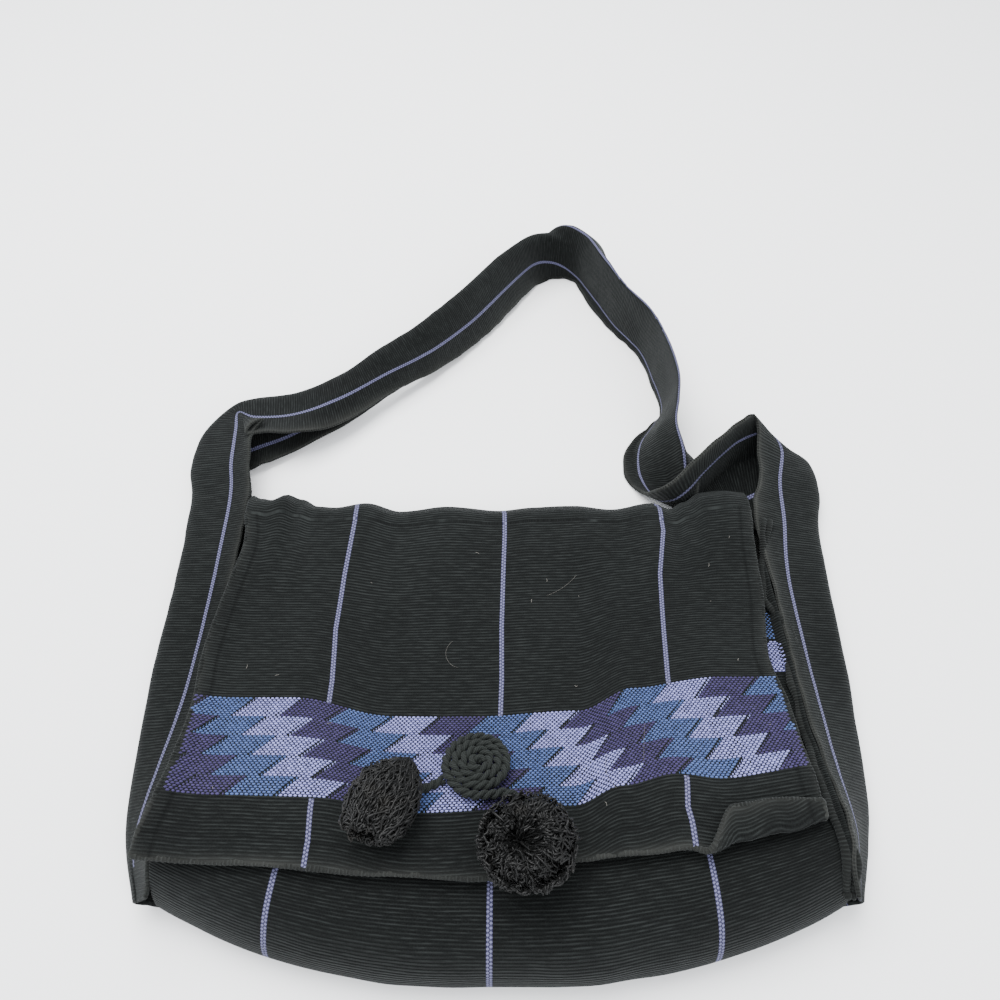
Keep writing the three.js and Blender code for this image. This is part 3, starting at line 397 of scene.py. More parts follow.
# The strip as one grid of panel, top fold, flap and hem, cut into two pieces behind the
# fold: half the wall is the cloth's, more in the hems (a step 1/(1+exp(2.2*past hem))),
# less in the row of stitches (a bell), and gathered by a sine of a wandering beat.
def buildBody():
    c = bodyColumns(130, 14)[None, :]
    last = len(panelRows) - 1
    stops = [(0, 3, 26), (3, 9, 104), (9, 12, 22), (12, 17, 22), (17, last, 30)]
    frontRows = sum(n for _, _, n in stops[:3])
    u = np.concatenate([np.linspace(a, b, n, endpoint=False) for a, b, n in stops] + [[last]]) / last
    panel = panelPoint(u[:, None], c)
    v = np.linspace(0, 1, 176)
    flap = flapPoint(v[:, None], c)
    s = np.linspace(0, 1, 19)[1:]
    hem = hemPoint(s[:, None], c)

    # the top fold runs on into the flap on a cubic with both their slopes
    t = np.linspace(0, 1, 9)[1:-1, None, None]
    first, last = panel[-1], flap[0]
    span = np.linalg.norm(last - first, axis=-1, keepdims=True)
    leave, reach = unit(panel[-1] - panel[-2]) * span, unit(flap[1] - flap[0]) * span
    over = first * (1 + 2 * t) * (1 - t) ** 2 + leave * t * (1 - t) ** 2
    over = over + last * t * t * (3 - 2 * t) + reach * t * t * (t - 1)
    panel = np.concatenate([panel, over])

    # cloth laid flat: along the strip it is the length of the middle column, and on the
    # flap what flapCloth says
    x = flap[..., 0]
    shareDown = smoothRead(flapRows, v)[:, :1]
    y = body["long"] - flap[..., 1]
    y = y + np.maximum(1 - shareDown / 0.3, 0) * body["topWave"] * readByX(topWander, x / halfBody, 1)
    flapAcross, flapAlong = flapCloth(x, y)
    share = hem[..., 0] / halfBody
    hemLong = body["hemTurn"] * readByX(hemWander, share, 2) * s[:, None]
    hemAcross = np.broadcast_to(flapAcross[-1], hem.shape[:2])
    hemAlong = flapAlong[-1] + hemLong
    steps = np.linalg.norm(np.diff(panel[:, c.size // 2], axis=0), axis=1)
    run = np.concatenate([[0], np.cumsum(steps)])
    panelAlong = (run - run[-1])[:, None] + flapAlong[0]
    row = np.append(smoothRead(panelRows, u)[:, 0], np.full(len(over), 1.0))
    panelAcross = panelCloth(panel[..., 0], np.broadcast_to(row[:, None], panel.shape[:2]))
    crest = np.clip((row - 0.9) / 0.1, 0, 1)[:, None] * (np.arange(len(row)) > len(row) - 40)[:, None]
    panelAcross = panelAcross + (flapAcross[0] - panelAcross[-1]) * crest

    grid = np.concatenate([panel, flap, hem])
    uv = np.stack([
        np.concatenate([panelAcross, flapAcross, hemAcross]),
        np.concatenate([panelAlong, flapAlong, hemAlong]),
    ], -1)

    # soft unevenness, and the doubled cloth of the side and end hems with its row of stitches
    wide = uv[..., 0]
    normal = gridNormals(grid)
    front = np.zeros(grid.shape[:2])
    front[:frontRows] = 1
    front[len(panel) - 20:] = 1  # from a little before the flap
    grid = grid + normal * (clothLie(wide, uv[..., 1]) * front)[..., None]

    isFlap = np.zeros(grid.shape[:2], bool)
    isFlap[len(panel):] = True
    side = halfBody * (1 - np.abs(c))
    fromSide = np.where(isFlap, side, 99.0)
    fromEnd = np.full(grid.shape[:2], 99.0)
    fromEnd[-len(hem):] = (1 - s[:, None]) * body["hemTurn"] * np.ones_like(c)
    fromEnd[len(panel):-len(hem)] = body["hemTurn"] + (flapAlong[-1] - flapAlong)
    pastSide, pastEnd = fromSide - body["hemSide"], fromEnd - body["hemEnd"]
    doubled = 1 / (1 + np.exp(np.minimum(pastSide, pastEnd) * 2.2))
    pucker = lambda run, beat, slow: np.sin(run * fullTurn / beat + 2 * np.sin(run / slow))
    gather = pucker(uv[..., 1], 4.2, 9) * np.exp(-(pastSide / 2.2) ** 2)
    gather += pucker(wide, 7.4, 11) * np.exp(-(pastEnd / 2.6) ** 2)
    groove = np.exp(-(pastSide / 0.8) ** 2) + np.exp(-(pastEnd / 0.8) ** 2)
    half = body["cloth"] / 2 + body["doubled"] * doubled - 0.3 * groove + 0.16 * gather
    wear = 0.3 * np.exp(-fromSide / 2.2) + 0.7 * np.exp(-fromEnd / 2.0)
    # painted shade: this mask of the stitch groove darkens the colour along the row of stitches
    stitchShade = np.clip(groove, 0, 1)
    part = len(panel) - 24  # the two pieces share this row, behind the top fold
    names = [("front_and_back_cloth", slice(0, part + 1)), ("flap_cloth", slice(part, None))]
    pieces, flats = [], []
    for name, rows in names:
        pieces.append(wallPiece(
            name, grid[rows], half[rows], uv[rows],
            {"wear": wear[rows], "stitchShade": stitchShade[rows]}, gridNormals(grid)[rows],
        ))
        long = np.linalg.norm(np.diff(grid[rows][:, ::8], axis=0), axis=-1).sum(0).mean()
        wide = np.linalg.norm(np.diff(grid[rows][::8], axis=1), axis=-1).sum(1).mean()
        flats.append((wide * mm, long * mm))
        print("bag: cloth", name, "cut to", [round(v, 3) for v in flats[-1]])
    outline = np.concatenate([grid[len(panel):, 0], grid[-1, 1:-1], grid[len(panel):, -1][::-1]])
    return pieces, flats, outline


# A number inside a material: arithmetic on it adds Math nodes.
class Signal:
    def __init__(self, look, socket):
        self.look, self.socket = look, socket

    def __add__(self, other):
        return self.look.math("ADD", self, other)

    def __sub__(self, other):
        return self.look.math("SUBTRACT", self, other)

    def __mul__(self, other):
        return self.look.math("MULTIPLY", self, other)

    def __truediv__(self, other):
        return self.look.math("DIVIDE", self, other)

    def __lt__(self, other):
        return self.look.math("LESS_THAN", self, other)

    def __gt__(self, other):
        return self.look.math("GREATER_THAN", self, other)

    def __abs__(self):
        return self.look.math("ABSOLUTE", self)

    def sine(self):
        return self.look.math("SINE", self)


# A node material: the base shader with its plain numbers, and helpers that chain nodes.
class Weave:
    def __init__(self, name, roughness, sheen=0.0, tint=(1, 1, 1), specular=0.1):
        self.material = bpy.data.materials.new(name)
        self.material.use_nodes = True
        self.nodes = self.material.node_tree.nodes
        self.links = self.material.node_tree.links
        self.shader = self.nodes["Principled BSDF"]
        for key, value in (
            ("Roughness", roughness), ("Sheen Weight", sheen), ("Sheen Roughness", 0.5),
            ("Sheen Tint", (*tint, 1)), ("Specular IOR Level", specular),
        ):
            self.shader.inputs[key].default_value = value

    def feed(self, socket, value):
        value = value.socket if isinstance(value, Signal) else value
        if hasattr(value, "is_output"):
            self.links.new(value, socket)
        else:
            socket.default_value = value

    def math(self, operation, a, b=0.0):
        node = self.nodes.new("ShaderNodeMath")
        node.operation = operation
        self.feed(node.inputs[0], a)
        self.feed(node.inputs[1], b)
        return Signal(self, node.outputs[0])

    def smooth(self, value, low, high, outLow=0.0, outHigh=1.0):
        node = self.nodes.new("ShaderNodeMapRange")
        node.interpolation_type = "SMOOTHSTEP"
        self.feed(node.inputs["Value"], value)
        for key, number in zip(("From Min", "From Max", "To Min", "To Max"), (low, high, outLow, outHigh)):
            node.inputs[key].default_value = number
        return Signal(self, node.outputs["Result"])

    def mix(self, amount, a, b, blend="MIX"):
        node = self.nodes.new("ShaderNodeMix")
        node.data_type = "RGBA"
        node.blend_type = blend
        self.feed(node.inputs["Factor"], amount)
        for socket, value in ((node.inputs[6], a), (node.inputs[7], b)):
            self.feed(socket, value if hasattr(value, "is_output") else (*value, 1))
        return node.outputs[2]

    def uv(self):
        node = self.nodes.new("ShaderNodeUVMap")
        node.uv_map = "cloth"
        split = self.nodes.new("ShaderNodeSeparateXYZ")
        self.links.new(node.outputs["UV"], split.inputs[0])
        return node.outputs["UV"], Signal(self, split.outputs[0]), Signal(self, split.outputs[1])

    # noise with a scale for each axis, on the piece's own coordinates or on a given socket
    def noise(self, scale, detail=2.0, rough=0.5, source=None):
        place = self.nodes.new("ShaderNodeMapping")
        place.inputs["Scale"].default_value = scale
        if source is None:
            source = self.nodes.new("ShaderNodeTexCoord").outputs["Object"]
        self.links.new(source, place.inputs["Vector"])
        node = self.nodes.new("ShaderNodeTexNoise")
        for key, value in (("Scale", 1.0), ("Detail", detail), ("Roughness", rough)):
            node.inputs[key].default_value = value
        self.links.new(place.outputs["Vector"], node.inputs["Vector"])
        return Signal(self, node.outputs["Fac"])

    def attribute(self, name, output="Fac"):
        node = self.nodes.new("ShaderNodeAttribute")
        node.attribute_name = name
        return node.outputs[output]

    def finish(self, colour, height, distance, strength=1.0):
        self.links.new(colour, self.shader.inputs["Base Color"])
        bump = self.nodes.new("ShaderNodeBump")
        bump.inputs["Strength"].default_value = strength
        bump.inputs["Distance"].default_value = distance
        self.feed(bump.inputs["Height"], height)
        self.links.new(bump.outputs["Normal"], self.shader.inputs["Normal"])
        return self.material


ribbed = {
    "pitch": 0.00172,  # rib to rib, m
    "beat": 0.0019,  # length of one float in a stripe
    "stripeHalf": 0.00135,
    "tick": 0.00011,  # of the warp, per radian
    "noises": {  # scale for each way of the cloth, and detail
        "waver": ((28, 90, 1), 1.5), "yarn": ((130, 700, 1), 2),
        "grain": ((1500, 1500, 1), 2), "patch": ((14, 14, 1), 3),
    },
    # rib colours from groove to crest: dark and light are the ribs' painted shade and painted highlight
    "dark": (0.0006, 0.0008, 0.0008),
    "mid": (0.0028, 0.0034, 0.0033),
    "light": (0.0135, 0.0155, 0.015),
    "worn": (0.036, 0.037, 0.034),
    "stripe": (0.105, 0.105, 0.19),
    "stripeShade": (0.010, 0.009, 0.034),
    "stripeDust": (0.16, 0.16, 0.2),
    "bump": 0.00055,
}


# Ribbed cloth: ribs are 0.5+0.5*sin(2*pi*v/pitch) along the cloth, bent by a little noise,
# with the warp's faint ticks across; the colour is painted lighter on the rib crests and
# darker in their grooves (painted highlight and shade), on top of random yarn and patch
# tone; stripes lie where |u-line| is under half a stripe.
def ribbedCloth(name, lines, gap=None):
    cloth = Weave(name, 0.92, 0.05, (0.8, 0.85, 0.85))
    uv, u, v = cloth.uv()
    waver, yarn, grain, patch = (
        cloth.noise(scale, detail, source=uv) for scale, detail in ribbed["noises"].values()
    )
    rib = (((waver - 0.5) * 0.9 + v / ribbed["pitch"]) * fullTurn).sine() * 0.5 + 0.5

    # painted light: tone follows the rib's sine, so the crests get the light colour and the grooves the dark;
    # yarn and patch noise add random tone
    tone = rib * cloth.smooth(yarn, 0.25, 0.8, 0.45, 1.1) + (patch - 0.5) * 0.5
    base = cloth.mix(cloth.smooth(tone, 0.0, 0.45), ribbed["dark"], ribbed["mid"])
    base = cloth.mix(cloth.smooth(tone, 0.4, 1.05), base, ribbed["light"])
    base = cloth.mix(cloth.smooth(grain, 0.35, 0.75) * 0.25, base, ribbed["light"])
    worn = cloth.smooth(patch, 0.35, 0.65, 0.25, 0.7) * cloth.attribute("wear")
    base = cloth.mix(worn, base, ribbed["worn"])
    # painted shade: along the stitch groove the colour darkens toward the dark rib colour
    base = cloth.mix(cloth.math("MULTIPLY", cloth.attribute("stitchShade"), 0.6), base, ribbed["dark"])

    # a stripe is two columns of short pale floats, set half a float apart
    near = signed = None
    for line in lines:
        off = u - line
        part = off * (abs(off) < 2 * ribbed["stripeHalf"])
        near = abs(off) if near is None else cloth.math("MINIMUM", near, abs(off))
        signed = part if signed is None else signed + part
    column = signed / ribbed["stripeHalf"]
    beat = v / ribbed["beat"] + (column > 0.0) * 0.5
    pulse = (beat * fullTurn).sine() * 0.5 + 0.5
    bead = pulse * 0.55 + 0.34 - abs(abs(column) - 0.5)
    inStripe = near < ribbed["stripeHalf"]
    if gap is not None:  # middle and half length of a stretch where the stripe hardly shows
        inStripe = inStripe * (abs(v - gap[0]) > gap[1])
    thread = cloth.mix(cloth.smooth(bead, 0.15, 0.5), ribbed["stripeShade"], ribbed["stripe"])
    thread = cloth.mix(cloth.smooth(grain, 0.3, 0.7, 0.0, 0.2), thread, ribbed["stripeDust"])
    base = cloth.mix(inStripe, base, thread)

    tick = (u / ribbed["tick"]).sine()
    high = rib * 0.62 + yarn * 0.5 + tick * 0.07 + grain * 0.22
    beadHigh = cloth.smooth(bead, 0.1, 0.6) * 0.9 + 0.35
    return cloth.finish(base, high + inStripe * (beadHigh - high), ribbed["bump"], 0.9)


print("bag: body cloth")
bodyPieces, bodyCuts, flapOutline = buildBody()
bandMid, bandHalf = sum(pattern["edges"]) / 2 * mm, (pattern["edges"][1] - pattern["edges"][0]) / 2 * mm
bodyLook = ribbedCloth("ribbed_body_cloth", [line * mm for line in stripeAt], (bandMid, bandHalf))
for piece in bodyPieces:
    dress(piece, bodyLook, "body_cloth")

# The band of side gussets and strap. Strap rows: x, y, z of the fold; a and b, the ways
# to the two stripes; turns of the margins; share of the upper margin that isn't rolled.
band = {
    "wide": 90.0,
    "cloth": 1.9,
    "margin": 20.0,
    "fold": 3.6,
    "reach": 276.0,
    "seamGap": 2.0,
    "seamDrop": 1.0,
    "backSeam": 2.2,
    # up each gusset, how near the seam its upper stripe is
    "leftRun": ((0.135, 0.24, 0.37, 0.56), (0.24, 0.34, 0.56, 0.7)),
    "rightRun": ((0.135, 0.24, 0.37, 0.56), (0.42, 0.66, 0.74, 0.71)),
    "across": 41,
    "along": 680,
}
halfBand = band["wide"] / 2
stripeOff = halfBand - band["margin"]
leftGusset = [(0.135, 0.2, 0.33), (0.24, 0.5, 0.24), (0.36, 0.64, 0.2), (0.56, 0.75, 0.18), (0.83, 0.81, 0.18)]
rightGusset = [(0.82, 0.84, 0.18), (0.54, 0.72, 0.18), (0.367, 0.6, 0.2), (0.24, 0.42, 0.24), (0.135, 0.17, 0.33)]
strapRows = np.array([
    (-1.93, 1.058, 0.18, 1.14, 0.02, 0.34, 0.82, -0.09, -0.13, 0, 0.55, 0),  # left mouth
    (-2.07, 1.165, 0.22, 1.25, -0.1, 0.42, 0.9, -0.22, -0.16, 0, 0.5, 0),
    (-1.98, 1.272, 0.31, 1.02, -0.16, 0.36, 0.77, -0.62, -0.25, 0, 0.75, 0),
    (-1.6, 1.345, 0.44, 0.28, -0.34, 0.14, 0.5, -1.36, -0.42, 0, 2.5, 0),  # mitre
    (-1.24, 1.372, 0.46, 0.16, -0.84, 0.14, 0.26, -1.5, -0.42, 0, 1, 0),
    (-0.893, 1.385, 0.49, 0.12, -0.86, 0.07, -0.06, -1.2, -0.46, 0, 1, 0),
    (-0.726, 1.425, 0.6, 0.2, -0.76, -0.05, 0.12, -0.8, -0.54, 35, 1, 20),
    (-0.571, 1.49, 0.76, 0.38, -0.52, -0.32, 0.2, -0.3, -0.68, 40, 1, 10),
    (-0.363, 1.594, 0.86, 0.42, -0.4, -0.62, 0.3, -0.06, -0.78, 25, 1, 0),
    (-0.179, 1.717, 0.92, 0.44, -0.22, -0.8, 0.12, 0.25, -0.85, 12, 1, 0),
    (0.012, 1.873, 0.97, 0.34, -0.2, -0.86, 0.02, 0.22, -0.9, 5, 1, 0),
    (0.161, 1.965, 0.96, 0.14, -0.16, -0.93, 0.1, 0.34, -0.7, 0, 1, 25),
    (0.285, 1.985, 0.82, 0.07, -0.1, -0.9, 0.12, 0.42, 0.2, 0, 1, 80),  # apex
    (0.405, 1.955, 0.6, 0.0, -0.04, -0.88, 0.12, 0.12, 0.74, -15, 0.55, 120),
    (0.494, 1.844, 0.56, -0.06, 0.0, -0.84, 0.06, -0.02, 0.88, -45, 0.42, 150),
    (0.577, 1.728, 0.56, -0.08, 0.02, -0.82, 0.06, -0.03, 0.86, -30, 0.32, 162),
    (0.679, 1.616, 0.56, -0.08, 0.02, -0.8, 0.06, -0.03, 0.86, -15, 0.25, 168),
    (0.726, 1.496, 0.56, -0.1, 0.02, -0.78, 0.08, -0.02, 0.84, -5, 0.25, 170),
    (0.744, 1.388, 0.55, -0.08, 0.02, -0.74, 0.1, 0, 0.8, 0, 0.4, 168),
    (0.714, 1.315, 0.54, -0.2, 0.14, -0.7, 0.2, -0.06, 0.72, -8, 0.6, 165),  # loop
    (0.665, 1.246, 0.5, -0.36, 0.12, -0.66, 0.38, -0.12, 0.64, -10, 0.9, 150),
    (0.675, 1.165, 0.38, -0.56, 0.08, -0.52, 0.46, -0.04, 0.54, -5, 0.85, 110),
    (0.725, 1.062, 0.13, -0.66, 0.3, 0.03, 0.25, 0.02, 0.2, 0, 0.5, 10),
    (0.755, 1.05, 0.08, -0.48, 0.04, 0.5, 0.3, -0.04, 0.08, 0, 1, 0),
    (0.795, 1.06, 0.08, -0.34, 0.1, 0.68, 0.38, -0.3, 0.02, 0, 1, 0),
    (0.839, 1.108, 0.09, -0.08, 0.16, 0.76, 0.38, -0.55, 0.0, 0, 1.2, 0),
    (0.952, 1.178, 0.12, 0.04, 0.2, 0.88, 0.1, -1.2, 0.0, 0, 1, 0),
    (1.49, 1.203, 0.36, -0.44, 0.18, 0.66, -0.13, -1.1, -0.2, 0, 1, 0),
    (1.84, 1.199, 0.27, -0.7, 0.18, 0.72, -0.22, -0.82, -0.17, 0, 1, 0),
    (2.11, 1.178, 0.2, -0.94, 0.04, 0.6, -0.74, -0.55, -0.15, 0, 1, 0),
    (2.13, 1.098, 0.18, -1.18, 0.0, 0.5, -0.96, -0.28, -0.13, 0, 0.6, 0),
    (1.98, 0.985, 0.18, -0.99, 0.1, 0.31, -0.9, -0.02, -0.13, 0, 1, 0),  # right mouth
])


frontEnd = 8 / (len(panelRows) - 1)  # the row under the brow, as a share of the table


# Height of the front panel at a share of the length: that of the nearest of its rows.
def frontHeight(along, x):
    p = panelPoint(np.linspace(0, frontEnd, 200), x / halfBody)
    return p[np.abs(p[:, 1] - along * body["long"]).argmin(), 2]


def bandSections():
    rows = []
    for table, side in ((leftGusset, -1), (rightGusset, 1)):
        part = []
        for along, out, rise in table:
            seamX = side * (halfBody + band["seamGap"])
            middle = np.array([seamX + side * halfBand * out, body["long"] * along, halfBand * rise])
            top = frontHeight(along, side * halfBody * 0.97)
            top += body["ridge"] - band["seamDrop"] if side > 0 else 0
            share = stripeOff / halfBand
            near = np.interp(along, *band["leftRun" if side < 0 else "rightRun"])
            a = (np.array([seamX, middle[1], top]) - middle) * near
            b = (np.array([seamX, middle[1], band["backSeam"]]) - middle) * share
            part.append([*middle, *a, *b, 0, (1 - near) / near, (1 - share) / share, 0])
        rows.append(part)
    beyond = np.maximum(np.abs(strapRows[:, 0]) - 1, 0)
    x = np.sign(strapRows[:, 0]) * (halfBody * np.minimum(np.abs(strapRows[:, 0]), 1) + halfBand * beyond)
    y = body["long"] * np.minimum(strapRows[:, 1], 1) + band["reach"] * np.maximum(strapRows[:, 1] - 1, 0)
    keep = band["margin"] / stripeOff
    keepB = np.full(len(x), keep)
    keepB[2:8] *= (0.8, 0.45, 0.4, 0.5, 0.65, 0.9)
    strap = np.column_stack([
        x, y, halfBand * strapRows[:, 2], strapRows[:, 3:9] * stripeOff,
        strapRows[:, 9], strapRows[:, 10] * keep, keepB, strapRows[:, 11],
    ])
    return np.concatenate([rows[0], strap, rows[1]])


# Turns v about the unit axis: v cos + (axis x v) sin + axis (axis.v)(1-cos).
def turned(v, axis, angle):
    c, s = np.cos(angle)[:, None], np.sin(angle)[:, None]
    return v * c + np.cross(axis, v) * s + axis * (v * axis).sum(-1, keepdims=True) * (1 - c)


# Eleven points across the band at each u: edge, margin, stripe, leg, round the fold and
# back out; then a smooth curve is read through them.
def bandGrid(u, acrossCount):
    sections = bandSections()
    row = smoothRead(sections, u)
    middle, a, b = row[:, 0:3], row[:, 3:6], row[:, 6:9]
    aTurn, aMargin, bMargin, bTurn = row[:, 9], row[:, 10:11], row[:, 11:12], row[:, 12]
    step = 0.004
    path = sections[:, :3]
    ahead = unit(smoothRead(path, np.minimum(u + step, 1)) - smoothRead(path, np.maximum(u - step, 0)))
    inward, spread = unit(a) + unit(b), unit(a) - unit(b)
    side = unit(spread + np.cross(inward, ahead) * 0.35)
    into = unit(inward + np.cross(ahead, spread) * 0.1)
    closed = np.minimum(np.linalg.norm(inward, axis=-1, keepdims=True) / 2, 1)
    base = middle + into * band["fold"] * closed
    aBase, bBase = base + side * band["fold"], base - side * band["fold"]
    aStripe, bStripe = middle + a, middle + b
    aOut = turned(a, ahead, np.radians(aTurn))
    bOut = turned(b, ahead, -np.radians(bTurn))
    line = np.stack([
        bStripe + bOut * bMargin, bStripe + bOut * bMargin / 2, bStripe, (bStripe + bBase) / 2, bBase, middle,
        aBase, (aStripe + aBase) / 2, aStripe, aStripe + aOut * aMargin / 2, aStripe + aOut * aMargin,
    ], 0)
    fine = smoothRead(line, np.linspace(0, 1, acrossCount))
    place = smoothRead(np.array([-45, -35, -25, -14, -5, 0, 5, 14, 25, 35, 45.0]), np.linspace(0, 1, acrossCount))
    fine = np.moveaxis(fine, 0, 1)
    run = np.linalg.norm(np.diff(fine, axis=0), axis=-1)
    run = np.sort(run, axis=1)[:, acrossCount // 4: -acrossCount // 4].mean(1)
    return fine, place, np.concatenate([[0], np.cumsum(run)])


# The band's wall: two smooth noises and, at the edges, exp(-distance/3) times a wavering
# sine stand it off the grid; a bell 3.2 mm in from each edge thins it for the stitches.
def buildBand():
    u = np.linspace(0, 1, band["along"])
    grid, place, run = bandGrid(u, band["across"])
    across = np.broadcast_to(place, grid.shape[:2])
    along = np.broadcast_to(run[:, None], grid.shape[:2])
    lie = softNoise(along / 26 + 5, across / 17 + 9, 11) * 0.5 + softNoise(along / 9, across / 11, 12) * 0.2
    edge = np.exp(-(halfBand - np.abs(across)) / 3.0)
    lie = lie + edge * np.sin(along / 3.3 + 2 * np.sin(along / 17)) * 0.35
    grid = grid + gridNormals(grid) * lie[..., None]
    grid[..., 2] = np.maximum(grid[..., 2], band["cloth"] / 2 + 0.15)
    seam = np.exp(-((halfBand - np.abs(across) - 3.2) / 0.7) ** 2)
    half = band["cloth"] / 2 - 0.22 * seam + 0.2 * edge
    uv = np.stack([across, along], -1)
    # the same bell, times 0.8, darkens the colour along the stitch groove as painted shade
    piece = wallPiece("gusset_and_strap", grid, half, uv, {"wear": edge, "stitchShade": seam * 0.8})
    return piece, grid, run


print("bag: gussets and strap")
bandPiece, bandSurface, bandRun = buildBand()
cornerTuck = (0.0, 0.016)  # the left corner hides the stripe's first 16 mm
bandLook = ribbedCloth("ribbed_band_cloth", [-stripeOff * mm, stripeOff * mm], cornerTuck)
dress(bandPiece, bandLook, "gusset_strap")
bandCut = (band["wide"] * mm, bandRun[-1] * mm)
print("bag: band cut to", [round(v, 3) for v in bandCut])


# One mesh of many strands: at each point of each line a ring of its radius is set square
# to the line, and fans close both ends.
def manyStrands(name, lines, radius, sides, values=None):
    strands, rings = lines.shape[:2]
    tangent = unit(np.gradient(lines, axis=1))
    normal = unit(np.cross(tangent, np.array([0.21, 0.33, 0.92])))
    binormal = np.cross(tangent, normal)
    angle = np.arange(sides) * fullTurn / sides
    ring = normal[:, :, None] * np.cos(angle)[:, None] + binormal[:, :, None] * np.sin(angle)[:, None]
    points = lines[:, :, None] + ring * radius[..., None, None]
    one = gridFaces(rings, sides, True)
    caps = np.array([[0, k, k + 1] for k in range(1, sides - 1)])
    ends = np.concatenate([caps[:, ::-1], caps + (rings - 1) * sides])
    offset = np.arange(strands)[:, None, None] * rings * sides
    faces = (one + offset).reshape(-1, 4).tolist() + (ends + offset).reshape(-1, 3).tolist()
    uvU = np.broadcast_to(np.arange(sides) / sides * 3.0, (strands, rings, sides))
    steps = np.linalg.norm(np.diff(lines, axis=1), axis=-1)
    reach = np.concatenate([np.zeros((strands, 1)), np.cumsum(steps, 1)], 1)
    uvV = np.broadcast_to(reach[..., None], (strands, rings, sides))
    flatValues = {k: np.broadcast_to(v[..., None], uvV.shape).ravel() for k, v in (values or {}).items()}
    return makeMesh(name, points.reshape(-1, 3), faces, np.stack([uvU, uvV], -1).reshape(-1, 2), flatValues)


# Even steps along a line of points, and how far along each lies.
def evenLine(line, count):
    run = np.concatenate([[0], np.cumsum(np.linalg.norm(np.diff(line, axis=0), axis=1))])
    even = np.linspace(0, run[-1], count)
    return np.stack([np.interp(even, run, line[:, k]) for k in range(3)], -1), even


# The band's two selvedges: a strand along each edge whose radius beats once a rib.
def buildSelvedges():
    lines, runs = zip(*[evenLine(bandSurface[:, k], 1900) for k in (0, -1)])
    run = np.stack(runs)
    radius = 0.98 + 0.3 * np.sin(run * fullTurn / (ribbed["pitch"] / mm))
    lines = np.stack(lines)
    lines[..., 2] = np.maximum(lines[..., 2], 1.4)
    return manyStrands("band_selvedges", lines, radius, 5, {"wear": 0.3 + 0 * run, "stitchShade": 0 * run})


# The flap's rolled edge: one strand round its outline with a slow unevenness and a beat.
def buildFlapEdge():
    line, run = evenLine(flapOutline, 1600)
    radius = 1.44 + 0.13 * np.sin(run * fullTurn / 2.6) + 0.16 * softNoise(run / 6, run * 0, 17)
    line = line + np.stack([0 * run, 0 * run, 0.35 * softNoise(run / 4, run * 0 + 3, 18)], -1)
    wear = 0.12 + 0.6 * np.clip((78 - line[:, 1]) / 8, 0, 1)  # the hem is paler than the sides
    return manyStrands("flap_edge", line[None], radius[None], 8, {"wear": wear[None], "stitchShade": 0 * run[None]})


seam = {"apart": 3.9, "top": 260.0, "end": 34.0, "radius": (2.1, 1.9), "high": 22.0}
seamRows = np.array([  # Y, X of the inner roll
    (33, 166.3), (46, 166.5), (63, 164), (76, 163.5), (104, 165), (125, 165.3), (144, 166.6),
    (155, 167.3), (172, 170.3), (185, 169), (204, 163), (237, 167.4), (265, 173),
])


# The right seam's two rolls: strands down the edge of the front panel on the rows above,
# swaying by two sines; above the panel's hem they lie at the height of the top fold.
def buildSeamRolls():
    count = 620
    y = np.linspace(seam["top"], seam["end"], count)
    hemAt = panelRows[0, 0] * body["long"]
    side = panelPoint(np.linspace(0, frontEnd, 500), 0.985)
    order = np.argsort(side[:, 1])
    z = np.interp(np.minimum(y, hemAt), side[order, 1], side[order, 2]) + 2.6
    z = z + (seam["high"] - z) * np.clip((y - hemAt) / 20, 0, 1)
    lines, radii = [], []
    x = readByX(seamRows, y, 1)
    for k in range(2):
        sway = np.sin(y / 4.1 + 2.1 * k) * 0.55 + np.sin(y / 9.0 + k) * 0.7
        lines.append(np.stack([x + sway + k * seam["apart"], y, z + 0.5 * np.sin(y / 7.1 + k) - 0.8 * k], -1))
        radii.append(seam["radius"][k] * (1 + 0.1 * np.sin(y / 3.7 + k) + 0.06 * np.sin(y * fullTurn / 1.72)))
    lines, radii = np.stack(lines), np.stack(radii)
    radii *= np.minimum(1, 0.25 + np.minimum(np.arange(count), np.arange(count)[::-1]) / 6)
    return manyStrands("right_seam_rolls", lines, radii, 10, {"wear": 0.22 + 0 * radii, "stitchShade": 0 * radii})


edgeLook = ribbedCloth("selvedge_cloth", [9.0])
selvedges, seamRolls, flapEdge = buildSelvedges(), buildSeamRolls(), buildFlapEdge()
for piece in (selvedges, seamRolls, flapEdge):
    dress(piece, edgeLook)


# X and distance back for a place in the cloth laid flat: start at the same numbers, and
# step by what is left between the wanted and the found place until it closes.
def fromCloth(across, along):
    x, back = across.copy(), along.copy()
    for _ in range(20):
        gotAcross, gotAlong = flapCloth(x, back)
        x += (across - gotAcross) * 0.9
        back += (along - gotAlong) * 0.9
    return x, back


# The flap's face over a place in its cloth, with the normal and the way across there.
def onFlap(across, along):
    x, back = fromCloth(across, along)
    u, c = np.clip(back / body["flapLong"] - 0.08, 0, 1), x / halfBody
    for _ in range(24):
        p = flapPoint(u, c)
        c = c + (x - p[..., 0]) / halfBody
        u = np.clip(u - ((body["long"] - back) - p[..., 1]) / body["flapLong"], 0, 1)
    p = flapPoint(u, c)
    e = 0.004
    du = flapPoint(u + e, c) - flapPoint(u - e, c)
    dc = flapPoint(u, c + e) - flapPoint(u, c - e)
    normal = unit(np.cross(du, dc))
    fromSide = halfBody * (1 - np.abs(c))
    lie = clothLie(across, along) + body["cloth"] / 2
    lie = lie + body["doubled"] / (1 + np.exp((fromSide - body["hemSide"]) * 2.2))
    return p + normal * lie[..., None], normal, unit(dc)


